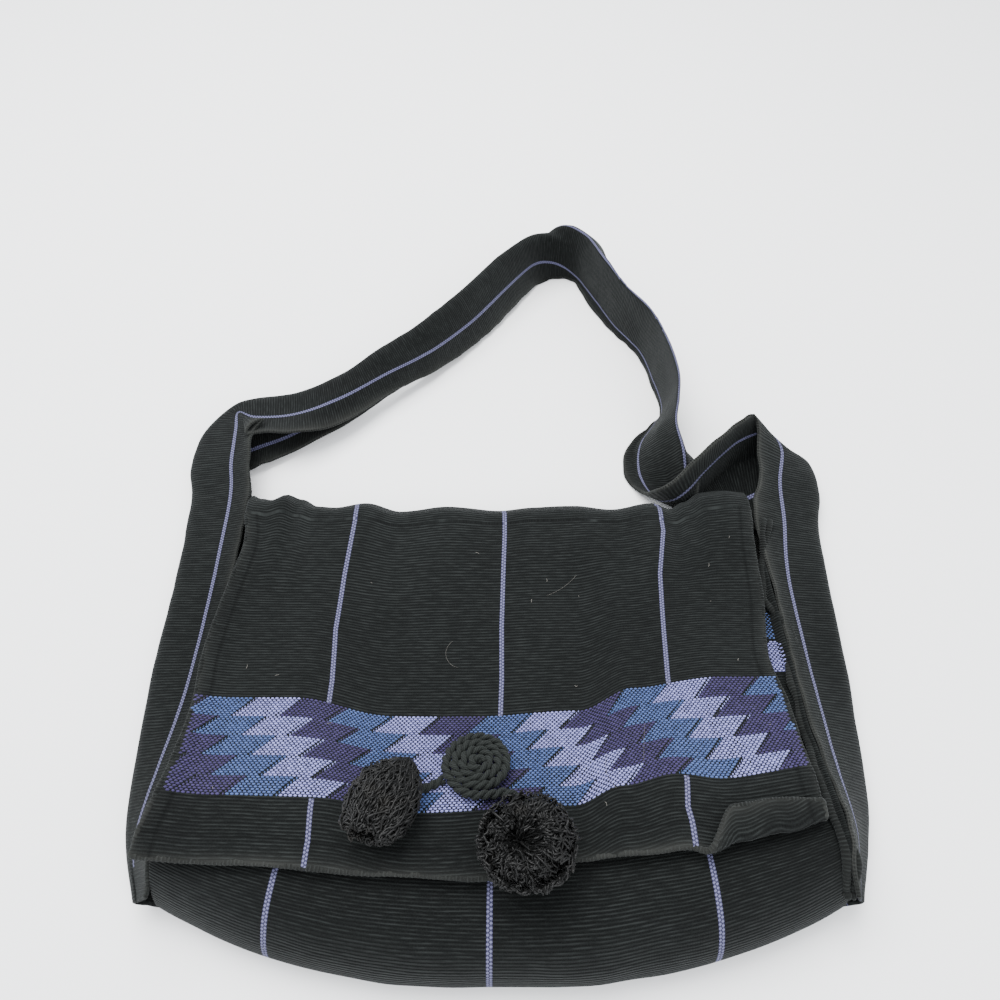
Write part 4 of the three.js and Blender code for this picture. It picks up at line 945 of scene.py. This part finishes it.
# Which feather a float belongs to: in row r, (x + slant*height + shift*r - start) / block
# counts the feathers, and where the count is near whole the dark cloth shows.
def featherAt(across, along):
    low, high = pattern["edges"]
    rowHigh = (high - low) / pattern["rows"]
    row = np.clip(((along - low) / rowHigh).astype(int), 0, pattern["rows"] - 1)
    height = (row + 1) * rowHigh - (along - low)
    count = (across - pattern["start"] - pattern["slant"] * height - pattern["shift"] * row) / pattern["block"]
    index = np.floor(count).astype(int)
    kind = np.where(index < -2, 1, np.mod(index, 3))
    return row, count - np.floor(count), kind


# A float is a low dome over an ellipse: two rings, the upper one smaller, and a tip. Its
# long and short axes are the cloth's own ways across and along, so it stretches with it.
def buildFloats(name, centre, across, along, kind, short, seed):
    normal = unit(np.cross(across, along))
    normal = normal * np.sign(normal[:, 2:])
    rings, around = 2, 6
    angle = np.arange(around) * fullTurn / around
    longHalf, wideHalf, high = pattern["dome"]
    r = np.array([1.0, 0.62])
    ex = np.append((r[:, None] * np.cos(angle)).ravel() * longHalf, 0)
    ey = np.append((r[:, None] * np.sin(angle)).ravel() * wideHalf, 0)
    ez = np.append(np.repeat(np.array([-0.3, 0.8]), around) * high, high)
    pick = np.random.default_rng(seed)
    size = pick.uniform(0.92, 1.08, (len(centre), 1, 1))
    flip = np.sign((np.cross(across, along) * normal).sum(-1))
    outward = across[:, None] * ex[:, None] * short[:, None, None]
    outward = outward + (along * flip[:, None])[:, None] * ey[:, None]
    points = centre[:, None] + size * (outward + normal[:, None] * ez[:, None])
    count = rings * around + 1
    ring = gridFaces(rings, around, True)
    k = np.arange(around)
    top = (rings - 1) * around
    tip = np.stack([top + k, top + (k + 1) % around, np.full(around, count - 1)], -1)
    base = k[None, ::-1]
    offset = np.arange(len(centre))[:, None, None] * count
    faces = []
    for part in (ring, tip, base):
        faces += (part + offset).reshape(-1, part.shape[1]).tolist()
    palette = np.array([pattern["colours"][key] for key in ("pale", "purple", "blue")])
    tint = palette[kind] * pick.uniform(0.82, 1.16, (len(centre), 1))
    tint = np.repeat(tint[:, None], count, 1).reshape(-1, 3)
    return makeMesh(name, points.reshape(-1, 3), faces, None, {"tint": tint})


# The lattice of floats: rows a pitch apart along the cloth, each second row half a float over.
def buildPattern():
    px, py = pattern["pitch"]
    low, high = pattern["edges"]
    rows = np.arange(int((high - low) / py))
    cols = np.arange(-74, 74)
    along = np.broadcast_to(low + 0.6 + rows[:, None] * py, (len(rows), len(cols))).ravel()
    across = (cols[None, :] * px + (rows[:, None] % 2) * px / 2).ravel()
    row, part, kind = featherAt(across, along)
    x, back = fromCloth(across, along)
    left = np.interp(back, [120, 150, 200], [-167.5, -166, -166])
    right = np.interp(back, [100, 130, 150, 200], [153, 156, 157, 156.5])
    keep = (x > left) & (x < right)
    return across[keep], along[keep], kind[keep], part[keep] * pattern["block"]


print("bag: woven feathers")
across, along, kind, fromEdge = buildPattern()
short = np.clip(fromEdge / 1.5, 0.2, 1) * np.clip((pattern["block"] - fromEdge) / 1.3, 0.4, 1)
near = across + (1 - short) * 0.7
middle = onFlap(near, along)[0]
wayAcross = (onFlap(near + 0.8, along)[0] - onFlap(near - 0.8, along)[0]) / 1.6
wayAlong = (onFlap(near, along + 0.6)[0] - onFlap(near, along - 0.6)[0]) / 1.2

# the front panel's own band of the pattern, seen beside the flap at the right
px, py = pattern["pitch"]
sideX, sideY = np.meshgrid(np.arange(7) * px + 150.5, np.arange(31) * py + 156)
sideX = sideX + (np.arange(31)[:, None] % 2) * px / 2
panelFine = panelPoint(np.linspace(0, frontEnd, 400)[:, None], np.linspace(0.88, 1, 60)[None, :])


# Place on the front panel for an X and Y: the height of the nearest point of a fine grid.
def onPanel(x, y):
    col = np.abs(panelFine[0, :, 0] - x[..., None]).argmin(-1)
    row = np.abs(panelFine[:, col, 1] - y).argmin(0)
    return np.stack([x, y, panelFine[row, col, 2] + body["cloth"] / 2], -1)


clear = np.abs(sideY - 175.5 - 0.25 * (sideX - 160)) > 0.9
sideX, sideY = sideX[clear], sideY[clear]
sideWay = (onPanel(sideX + 1, sideY) - onPanel(sideX - 1, sideY)) / 2
sideAlong = (onPanel(sideX, sideY + 1) - onPanel(sideX, sideY - 1)) / 2
floats = buildFloats(
    "pattern_floats", np.concatenate([middle, onPanel(sideX, sideY)]), np.concatenate([wayAcross, sideWay]),
    np.concatenate([wayAlong, sideAlong]), np.concatenate([kind, np.where(sideY > 175.5, 2, 0)]),
    np.concatenate([short, np.ones(len(sideX))]), 21,
)
floatLook = Weave("pattern_thread", 0.8, 0.08, (0.9, 0.9, 1))
fibre = floatLook.noise((900, 2600, 2600), 3.0, 0.6)
tint = floatLook.attribute("tint", "Color")
dusk = floatLook.mix(1.0, tint, (0.6, 0.6, 0.66), "MULTIPLY")
shade = floatLook.mix(floatLook.smooth(fibre, 0.3, 0.7), dusk, tint)
dress(floats, floatLook.finish(shade, fibre, 0.0002, 0.5))
print("bag: floats", len(across))


clearOfFlap = 1.6  # half the cloth and its unevenness


# Button and tassels lie on the flap: each is made about its own centre, turned, tipped to
# the flap's slope and set at its place.
def layOnFlap(points, x, y, turn, lift):
    u = np.linspace(0, 1, 400)
    line = flapPoint(u, 0.0)
    k = np.abs(line[:, 1] - y).argmin()
    near = np.abs(u - max(u[k] - 0.06, 0)).argmin()
    tip = math.atan((line[near, 2] - line[k, 2]) / (line[near, 1] - line[k, 1]))
    a = math.radians(turn)
    spin = np.array([[math.cos(a), -math.sin(a), 0], [math.sin(a), math.cos(a), 0], [0, 0, 1]])
    lean = np.array([[1, 0, 0], [0, math.cos(tip), -math.sin(tip)], [0, math.sin(tip), math.cos(tip)]])
    return points @ spin.T @ lean.T + np.array([x, y, line[k, 2] + clearOfFlap + lift])


button = {
    "x": -11.0,
    "y": 93.0,
    "lift": 1.1,
    "radius": 20.0,
    "dome": 8.6,
    "cord": 4.5,
    "pitch": 4.35,  # turn to turn
    "lay": 9.6,  # one twist of the two strands
    "inner": 1.4,
    "end": -72.0,  # bearing where the outer turn leaves
}


# Centre line of the coiled cord: radius grows by one pitch a turn, height follows the dome
# low + (dome-cord)*sqrt(1-(r/R)^2); the outer end runs on as a tail, away to the right.
def coilLine():
    outer = button["radius"] - button["cord"] / 2
    turns = (outer - button["inner"]) / button["pitch"]
    end = math.radians(button["end"])
    angle = np.linspace(end - turns * fullTurn, end, 900)
    r = outer - (end - angle) / fullTurn * button["pitch"]
    z = button["cord"] / 2 + (button["dome"] - button["cord"]) * np.sqrt(1 - 0.96 * (r / button["radius"]) ** 2)
    coil = np.stack([r * np.cos(angle), r * np.sin(angle), z], -1)
    off = coil[-1]
    steps = [(0, 0, 0), (6, 1.2, -0.5), (12, 0.4, -0.8), (18, -2.4, -0.8), (24, -5, -0.4)]
    tail = np.concatenate([coil[-40:-39], off + np.array(steps)])
    tail = smoothRead(tail, np.linspace(0.2, 1, 200))
    line = np.concatenate([coil, tail[1:]])
    return evenLine(line, int(np.linalg.norm(np.diff(line, axis=0), axis=1).sum() / 0.45))


# Two strands laid about a line: each stands off it by a quarter of the cord, turning once
# in every lay.
def twistedCord(line, run, cord, lay):
    tangent = unit(np.gradient(line, axis=0))
    side = unit(np.cross(np.array([0.0, 0.0, 1.0]), tangent))
    up = np.cross(tangent, side)
    strands = []
    for k in range(2):
        turn = k * math.pi - fullTurn * run / lay
        strands.append(line + (side * np.cos(turn)[:, None] + up * np.sin(turn)[:, None]) * cord * 0.255)
    return np.stack(strands)


# The button: the cord along its coil, which sways by smooth noise of its run.
def buildButton():
    line, run = coilLine()
    sway = [softNoise(run / 9, run * 0, 31), softNoise(run / 9, run * 0 + 5, 31), run * 0]
    line = line + np.stack(sway, -1) * 0.35
    strands = twistedCord(line, run, button["cord"], button["lay"])
    strands = layOnFlap(strands, button["x"], button["y"], 0, button["lift"])
    width = np.full(strands.shape[:2], button["cord"] * 0.285)
    return manyStrands("coiled_cord_button", strands, width, 14)


neck = {
    "path": ((-17.5, -8.0, 3.0), (-22, -10.5, 2.4), (-27, -13, 3.0), (-32, -16, 6.0)),  # from the button's middle
    "cord": 4.4,
    "lay": 8.5,
    "strand": 1.25,
}


# The left tassel's neck: the same twisted cord on a smooth curve through its path.
def buildNeck():
    line = smoothRead(neck["path"], np.linspace(0, 1, 60))
    run = np.concatenate([[0], np.cumsum(np.linalg.norm(np.diff(line, axis=0), axis=1))])
    strands = twistedCord(line, run, neck["cord"], neck["lay"])
    strands = layOnFlap(strands, button["x"], button["y"], 0, button["lift"])
    return manyStrands("tassel_neck_cord", strands, np.full(strands.shape[:2], neck["strand"]), 12)


tassels = {
    "left": {
        "x": -45.0, "y": 93.0, "turn": 247.0, "lift": 0.2,
        "long": 45.0, "wide": 38.0, "thick": 24.0, "threads": 490,
    },
    "right": {
        "x": 12.6, "y": 52.0, "turn": 0.0, "lift": -1.1,
        "long": 42.0, "wide": 43.0, "thick": 25.0, "threads": 490, "hollow": 4.5,
    },
    "thread": 0.54,  # its radius
    "stray": 0.85,  # how far a thread wanders, and how many times over its length
    "beats": (4, 9),
}


# Threads that wander: two sines of a thread's own step and phase are added to its curve.
def wander(lines, pick):
    count, rings = lines.shape[:2]
    t = np.linspace(0, 1, rings)[None, :, None]
    for _ in range(2):
        way = pick.normal(0, 1, (count, 1, 3)) * tassels["stray"]
        beat = pick.uniform(*tassels["beats"], (count, 1, 1))
        phase = pick.uniform(0, 1, (count, 1, 1))
        lines = lines + way * np.sin(fullTurn * (beat * t + phase)) * np.minimum(t * 4, 1)
    return lines


# From the rings of a tassel, one place on each for every thread, to its threads on the flap.
def threadsFrom(name, rings, size, pick):
    lines = np.swapaxes(smoothRead(np.array(rings), np.linspace(0, 1, 33)), 0, 1)
    lines = wander(lines, pick)
    lines[..., 2] = np.maximum(lines[..., 2], 0.4)
    lines = layOnFlap(lines, size["x"], size["y"], size["turn"], size["lift"])
    return manyStrands(name, lines, np.full(lines.shape[:2], tassels["thread"]), 4)


# Left tassel: from a small head the threads spread over an egg, radius sin-like in t, and
# their ends curl in round a hollow.
def leftTassel():
    size = tassels["left"]
    pick = np.random.default_rng(41)
    n = size["threads"]
    angle = np.linspace(0, fullTurn, n, endpoint=False) + pick.normal(0, 0.06, n)
    angle = angle + 0.085 * np.sin(11 * angle)
    layer = pick.uniform(0.72, 1.0, n) * (0.95 + 0.05 * np.sin(4 * angle + 1))
    reach = size["long"] * (0.93 + 0.05 * np.sin(3 * angle + 1) + pick.normal(0, 0.035, n))
    swirl = pick.normal(0.3, 0.7, n)
    rings = []
    profile = ((0.05, 0.1), (0.16, 0.42), (0.36, 0.82), (0.6, 1.0), (0.84, 0.92), (0.98, 0.7), (0.95, 0.5))
    for along, share in profile:
        rings.append(np.stack([
            reach * along,
            (size["wide"] / 2 - 1.4) * share * layer * np.cos(angle + swirl * along),
            size["thick"] / 2 + (size["thick"] / 2 - 1.4) * share * layer * np.sin(angle + swirl * along),
        ], -1))
    return threadsFrom("left_tassel_threads", rings, size, pick)


# Right tassel: threads spring from under, go out, rise and curl in over a hollow that is
# off the middle; angle + 0.075*sin(13*angle) gathers them in clumps, and every fifth one
# ends at the rim and stands out as fringe.
def rightTassel():
    size = tassels["right"]
    pick = np.random.default_rng(43)
    n = size["threads"]
    angle = np.linspace(0, fullTurn, n, endpoint=False) + pick.normal(0, 0.08, n)
    angle = angle + 0.075 * np.sin(13 * angle)
    layer = pick.uniform(0.66, 1.0, n) * (0.93 + 0.06 * np.sin(2 * angle + 0.9) + 0.05 * np.sin(5 * angle + 2))
    swirl = pick.normal(0, 0.5, n)
    fringe = np.arange(n) % 5 == 0
    inner = pick.uniform(0.04, 0.6, n)
    rings = []
    for share, height, edge, edgeHigh in (
        (0.3, 0.12, 0.3, 0.12), (0.66, 0.2, 0.6, 0.25), (0.92, 0.42, 0.82, 0.4),
        (0.98, 0.68, 0.9, 0.52), (0.84, 0.9, 0.97, 0.62), (0.66, 0.9, 1.0, 0.7), (0.0, 0.5, 1.03, 0.8),
    ):
        r = np.where(fringe, edge, np.where(share > 0, share * layer, inner))
        lean = 1 + 0.14 * np.cos(angle - 0.6)
        high = np.where(fringe, edgeHigh, height * (0.75 + 0.28 * layer) * lean)
        off = np.where(fringe, 0, size["hollow"] * (1 - share))
        way = angle + swirl * height
        rings.append(np.stack([
            size["wide"] / 2 * r * np.cos(way) - off,
            size["long"] / 2 * r * np.sin(way) + off / 3,
            size["thick"] * high,
        ], -1))
    return threadsFrom("right_tassel_threads", rings, size, pick)


# A dark lumpy core keeps each tassel from showing through: an ellipsoid whose radius is
# 1 + 0.08*noise.
def tasselCore(name, size, centre, shares):
    lat, lon = np.linspace(0.02, math.pi - 0.02, 24)[:, None], np.arange(40) * fullTurn / 40
    r = 1 + 0.08 * softNoise(lat * 4 + lon * 0, lon * 40 / fullTurn / 5, 51)
    p = np.stack([np.sin(lat) * np.cos(lon), np.sin(lat) * np.sin(lon), np.cos(lat) + lon * 0], -1)
    p = p * r[..., None]
    p = p * np.array(shares) / 2 + np.array(centre)
    p = layOnFlap(p, size["x"], size["y"], size["turn"], size["lift"])
    rows, cols = p.shape[:2]
    faces = gridFaces(rows, cols, True)[:, ::-1].tolist()
    faces += [list(range(cols)), list(range(rows * cols - 1, (rows - 1) * cols - 1, -1))]
    return makeMesh(name, p.reshape(-1, 3), faces)


print("bag: button, cords and tassels")
cordLook = Weave("twisted_cord", 0.7, 0.06, (0.8, 0.85, 0.82))
_, cordU, cordV = cordLook.uv()
yarn = (cordU * (fullTurn / 0.0005) + cordV * (fullTurn / 0.0016)).sine() * 0.5 + 0.5
tone = yarn * 0.4 + cordLook.noise((1400, 1400, 1400), 3.0, 0.6) * 0.8
cordDark, cordLight = (0.0030, 0.0038, 0.0034), (0.0135, 0.0158, 0.0145)
cordLook.finish(cordLook.mix(cordLook.smooth(tone, 0.2, 0.95), cordDark, cordLight), tone, 0.0003, 0.8)

threadLook = Weave("tassel_thread", 0.42, 0.03, (0.8, 0.8, 0.8), 0.22)
speck = threadLook.noise((700, 700, 700), 3.0, 0.6)
fade = threadLook.smooth(threadLook.noise((60, 60, 60)), 0.54, 0.78, 0.0, 0.35)
threadDark, threadLight, threadFaded = (0.0003, 0.0004, 0.0004), (0.0026, 0.0026, 0.0024), (0.015, 0.013, 0.0098)
threadShade = threadLook.mix(threadLook.smooth(speck, 0.4, 0.8), threadDark, threadLight)
threadLook.finish(threadLook.mix(fade, threadShade, threadFaded), speck, 0.0003, 0.6)

buttonPiece = buildButton()
neckPiece = buildNeck()
leftPiece = leftTassel()
rightPiece = rightTassel()
left, right = tassels["left"], tassels["right"]
leftCore = tasselCore(
    "left_tassel_core", left, (left["long"] * 0.54, 0, left["thick"] / 2),
    (left["long"] * 0.74, left["wide"] * 0.72, left["thick"] * 0.7),
)
rightCore = tasselCore(
    "right_tassel_core", right, (0, 0, right["thick"] * 0.2),
    (right["wide"] * 0.8, right["long"] * 0.8, right["thick"] * 0.3),
)
for piece, look, slot, node in (
    (buttonPiece, cordLook, "cord", "coil_button"),
    (neckPiece, cordLook, "cord", None),
    (leftPiece, threadLook, "thread", "tassel_left"),
    (rightPiece, threadLook, "thread", "tassel_right"),
    (leftCore, threadLook, "thread", None),
    (rightCore, threadLook, "thread", None),
):
    dress(piece, look.material, node)


lint = {
    "count": 22,
    "hairs": 5,  # the first few are long and thin, and the rest short and thick
    "long": ((14, 26), (0.8, 3.0)),
    "radius": (0.06, 0.13),
}


# Lint: a few short pale fibres and hairs that lie on the flap; each is an arc of its own
# bend and heading, set just above the cloth.
def buildLint():
    pick = np.random.default_rng(61)
    count, rings = lint["count"], 12
    isHair = np.arange(count) < lint["hairs"]
    x, back = pick.uniform(-150, 145, count), pick.uniform(20, 200, count)
    long = np.where(isHair, *[pick.uniform(*ends, count) for ends in lint["long"]])
    heading, bend = pick.uniform(0, fullTurn, count), pick.uniform(-2.4, 2.4, count)
    t = np.linspace(-0.5, 0.5, rings)[None, :]
    way = heading[:, None] + bend[:, None] * t
    gx = x[:, None] + np.cumsum(np.cos(way), 1) * long[:, None] / rings
    gy = back[:, None] + np.cumsum(np.sin(way), 1) * long[:, None] / rings
    place, normal, _ = onFlap(*[v.ravel() for v in flapCloth(gx, gy)])
    lines = (place + normal * 0.5).reshape(count, rings, 3)
    radius = np.where(isHair, *lint["radius"])[:, None] * np.ones((1, rings))
    return manyStrands("lint", lines, radius, 4)


print("bag: lint")
lintLook = Weave("lint_fibre", 0.8, 0.1)
lintNoise = lintLook.noise((300, 300, 300))
lintShade = lintLook.mix(lintNoise, (0.05, 0.047, 0.042), (0.2, 0.19, 0.17))
lintLook.finish(lintShade, lintNoise, 0.0001, 0.2)
dress(buildLint(), lintLook.material)

# The camera stands over the near edge and looks down at 54 degrees, 36 from straight down.
view = {"lens": 28.08, "sensor": 36, "place": (0, -0.3066, 0.441), "tilt": 36}
camera = bpy.data.objects.new("camera", bpy.data.cameras.new("camera"))
camera.data.lens, camera.data.sensor_width = view["lens"], view["sensor"]
camera.location = view["place"]
camera.rotation_euler = (math.radians(view["tilt"]), 0, 0)
bpy.context.scene.collection.objects.link(camera)
bpy.context.scene.camera = camera


# Floor: a pale flat sheet far wider than the bag.
def buildFloor():
    reach = 3.0
    mesh = bpy.data.meshes.new("floor")
    corners = [(-reach, -reach, 0), (reach, -reach, 0), (reach, reach, 0), (-reach, reach, 0)]
    mesh.from_pydata(corners, [], [(0, 1, 2, 3)])
    floor = bpy.data.objects.new("floor", mesh)
    bpy.context.scene.collection.objects.link(floor)
    look = Weave("pale_floor", 0.6)
    mottle = look.noise((6, 6, 6))
    colour = look.mix(mottle, (0.93, 0.935, 0.94), (0.95, 0.95, 0.95))
    mesh.materials.append(look.finish(colour, mottle, 0.0001, 0.1))


buildFloor()


lights = {  # place, size in metres and power
    "soft_above": ((-0.35, 0.45, 1.5), (1.4, 1.2), 64),
    "soft_front": ((0.6, -1.1, 1.1), (1.2, 0.8), 13),
}
sky = {"colour": (0.93, 0.96, 1.0, 1), "strength": 1.75}


# A white rectangle of light that faces the row's origin.
def areaLight(name, place, size, power):
    light = bpy.data.lights.new(name, "AREA")
    light.shape = "RECTANGLE"
    light.size, light.size_y = size
    light.energy = power
    lamp = bpy.data.objects.new(name, light)
    lamp.location = place
    lamp.rotation_euler = (-Vector(place)).to_track_quat("-Z", "Y").to_euler()
    bpy.context.scene.collection.objects.link(lamp)


for name, setting in lights.items():
    areaLight(name, *setting)
world = bpy.data.worlds.new("studio")
world.use_nodes = True
background = world.node_tree.nodes["Background"]
background.inputs["Color"].default_value = sky["colour"]
background.inputs["Strength"].default_value = sky["strength"]
bpy.context.scene.world = world
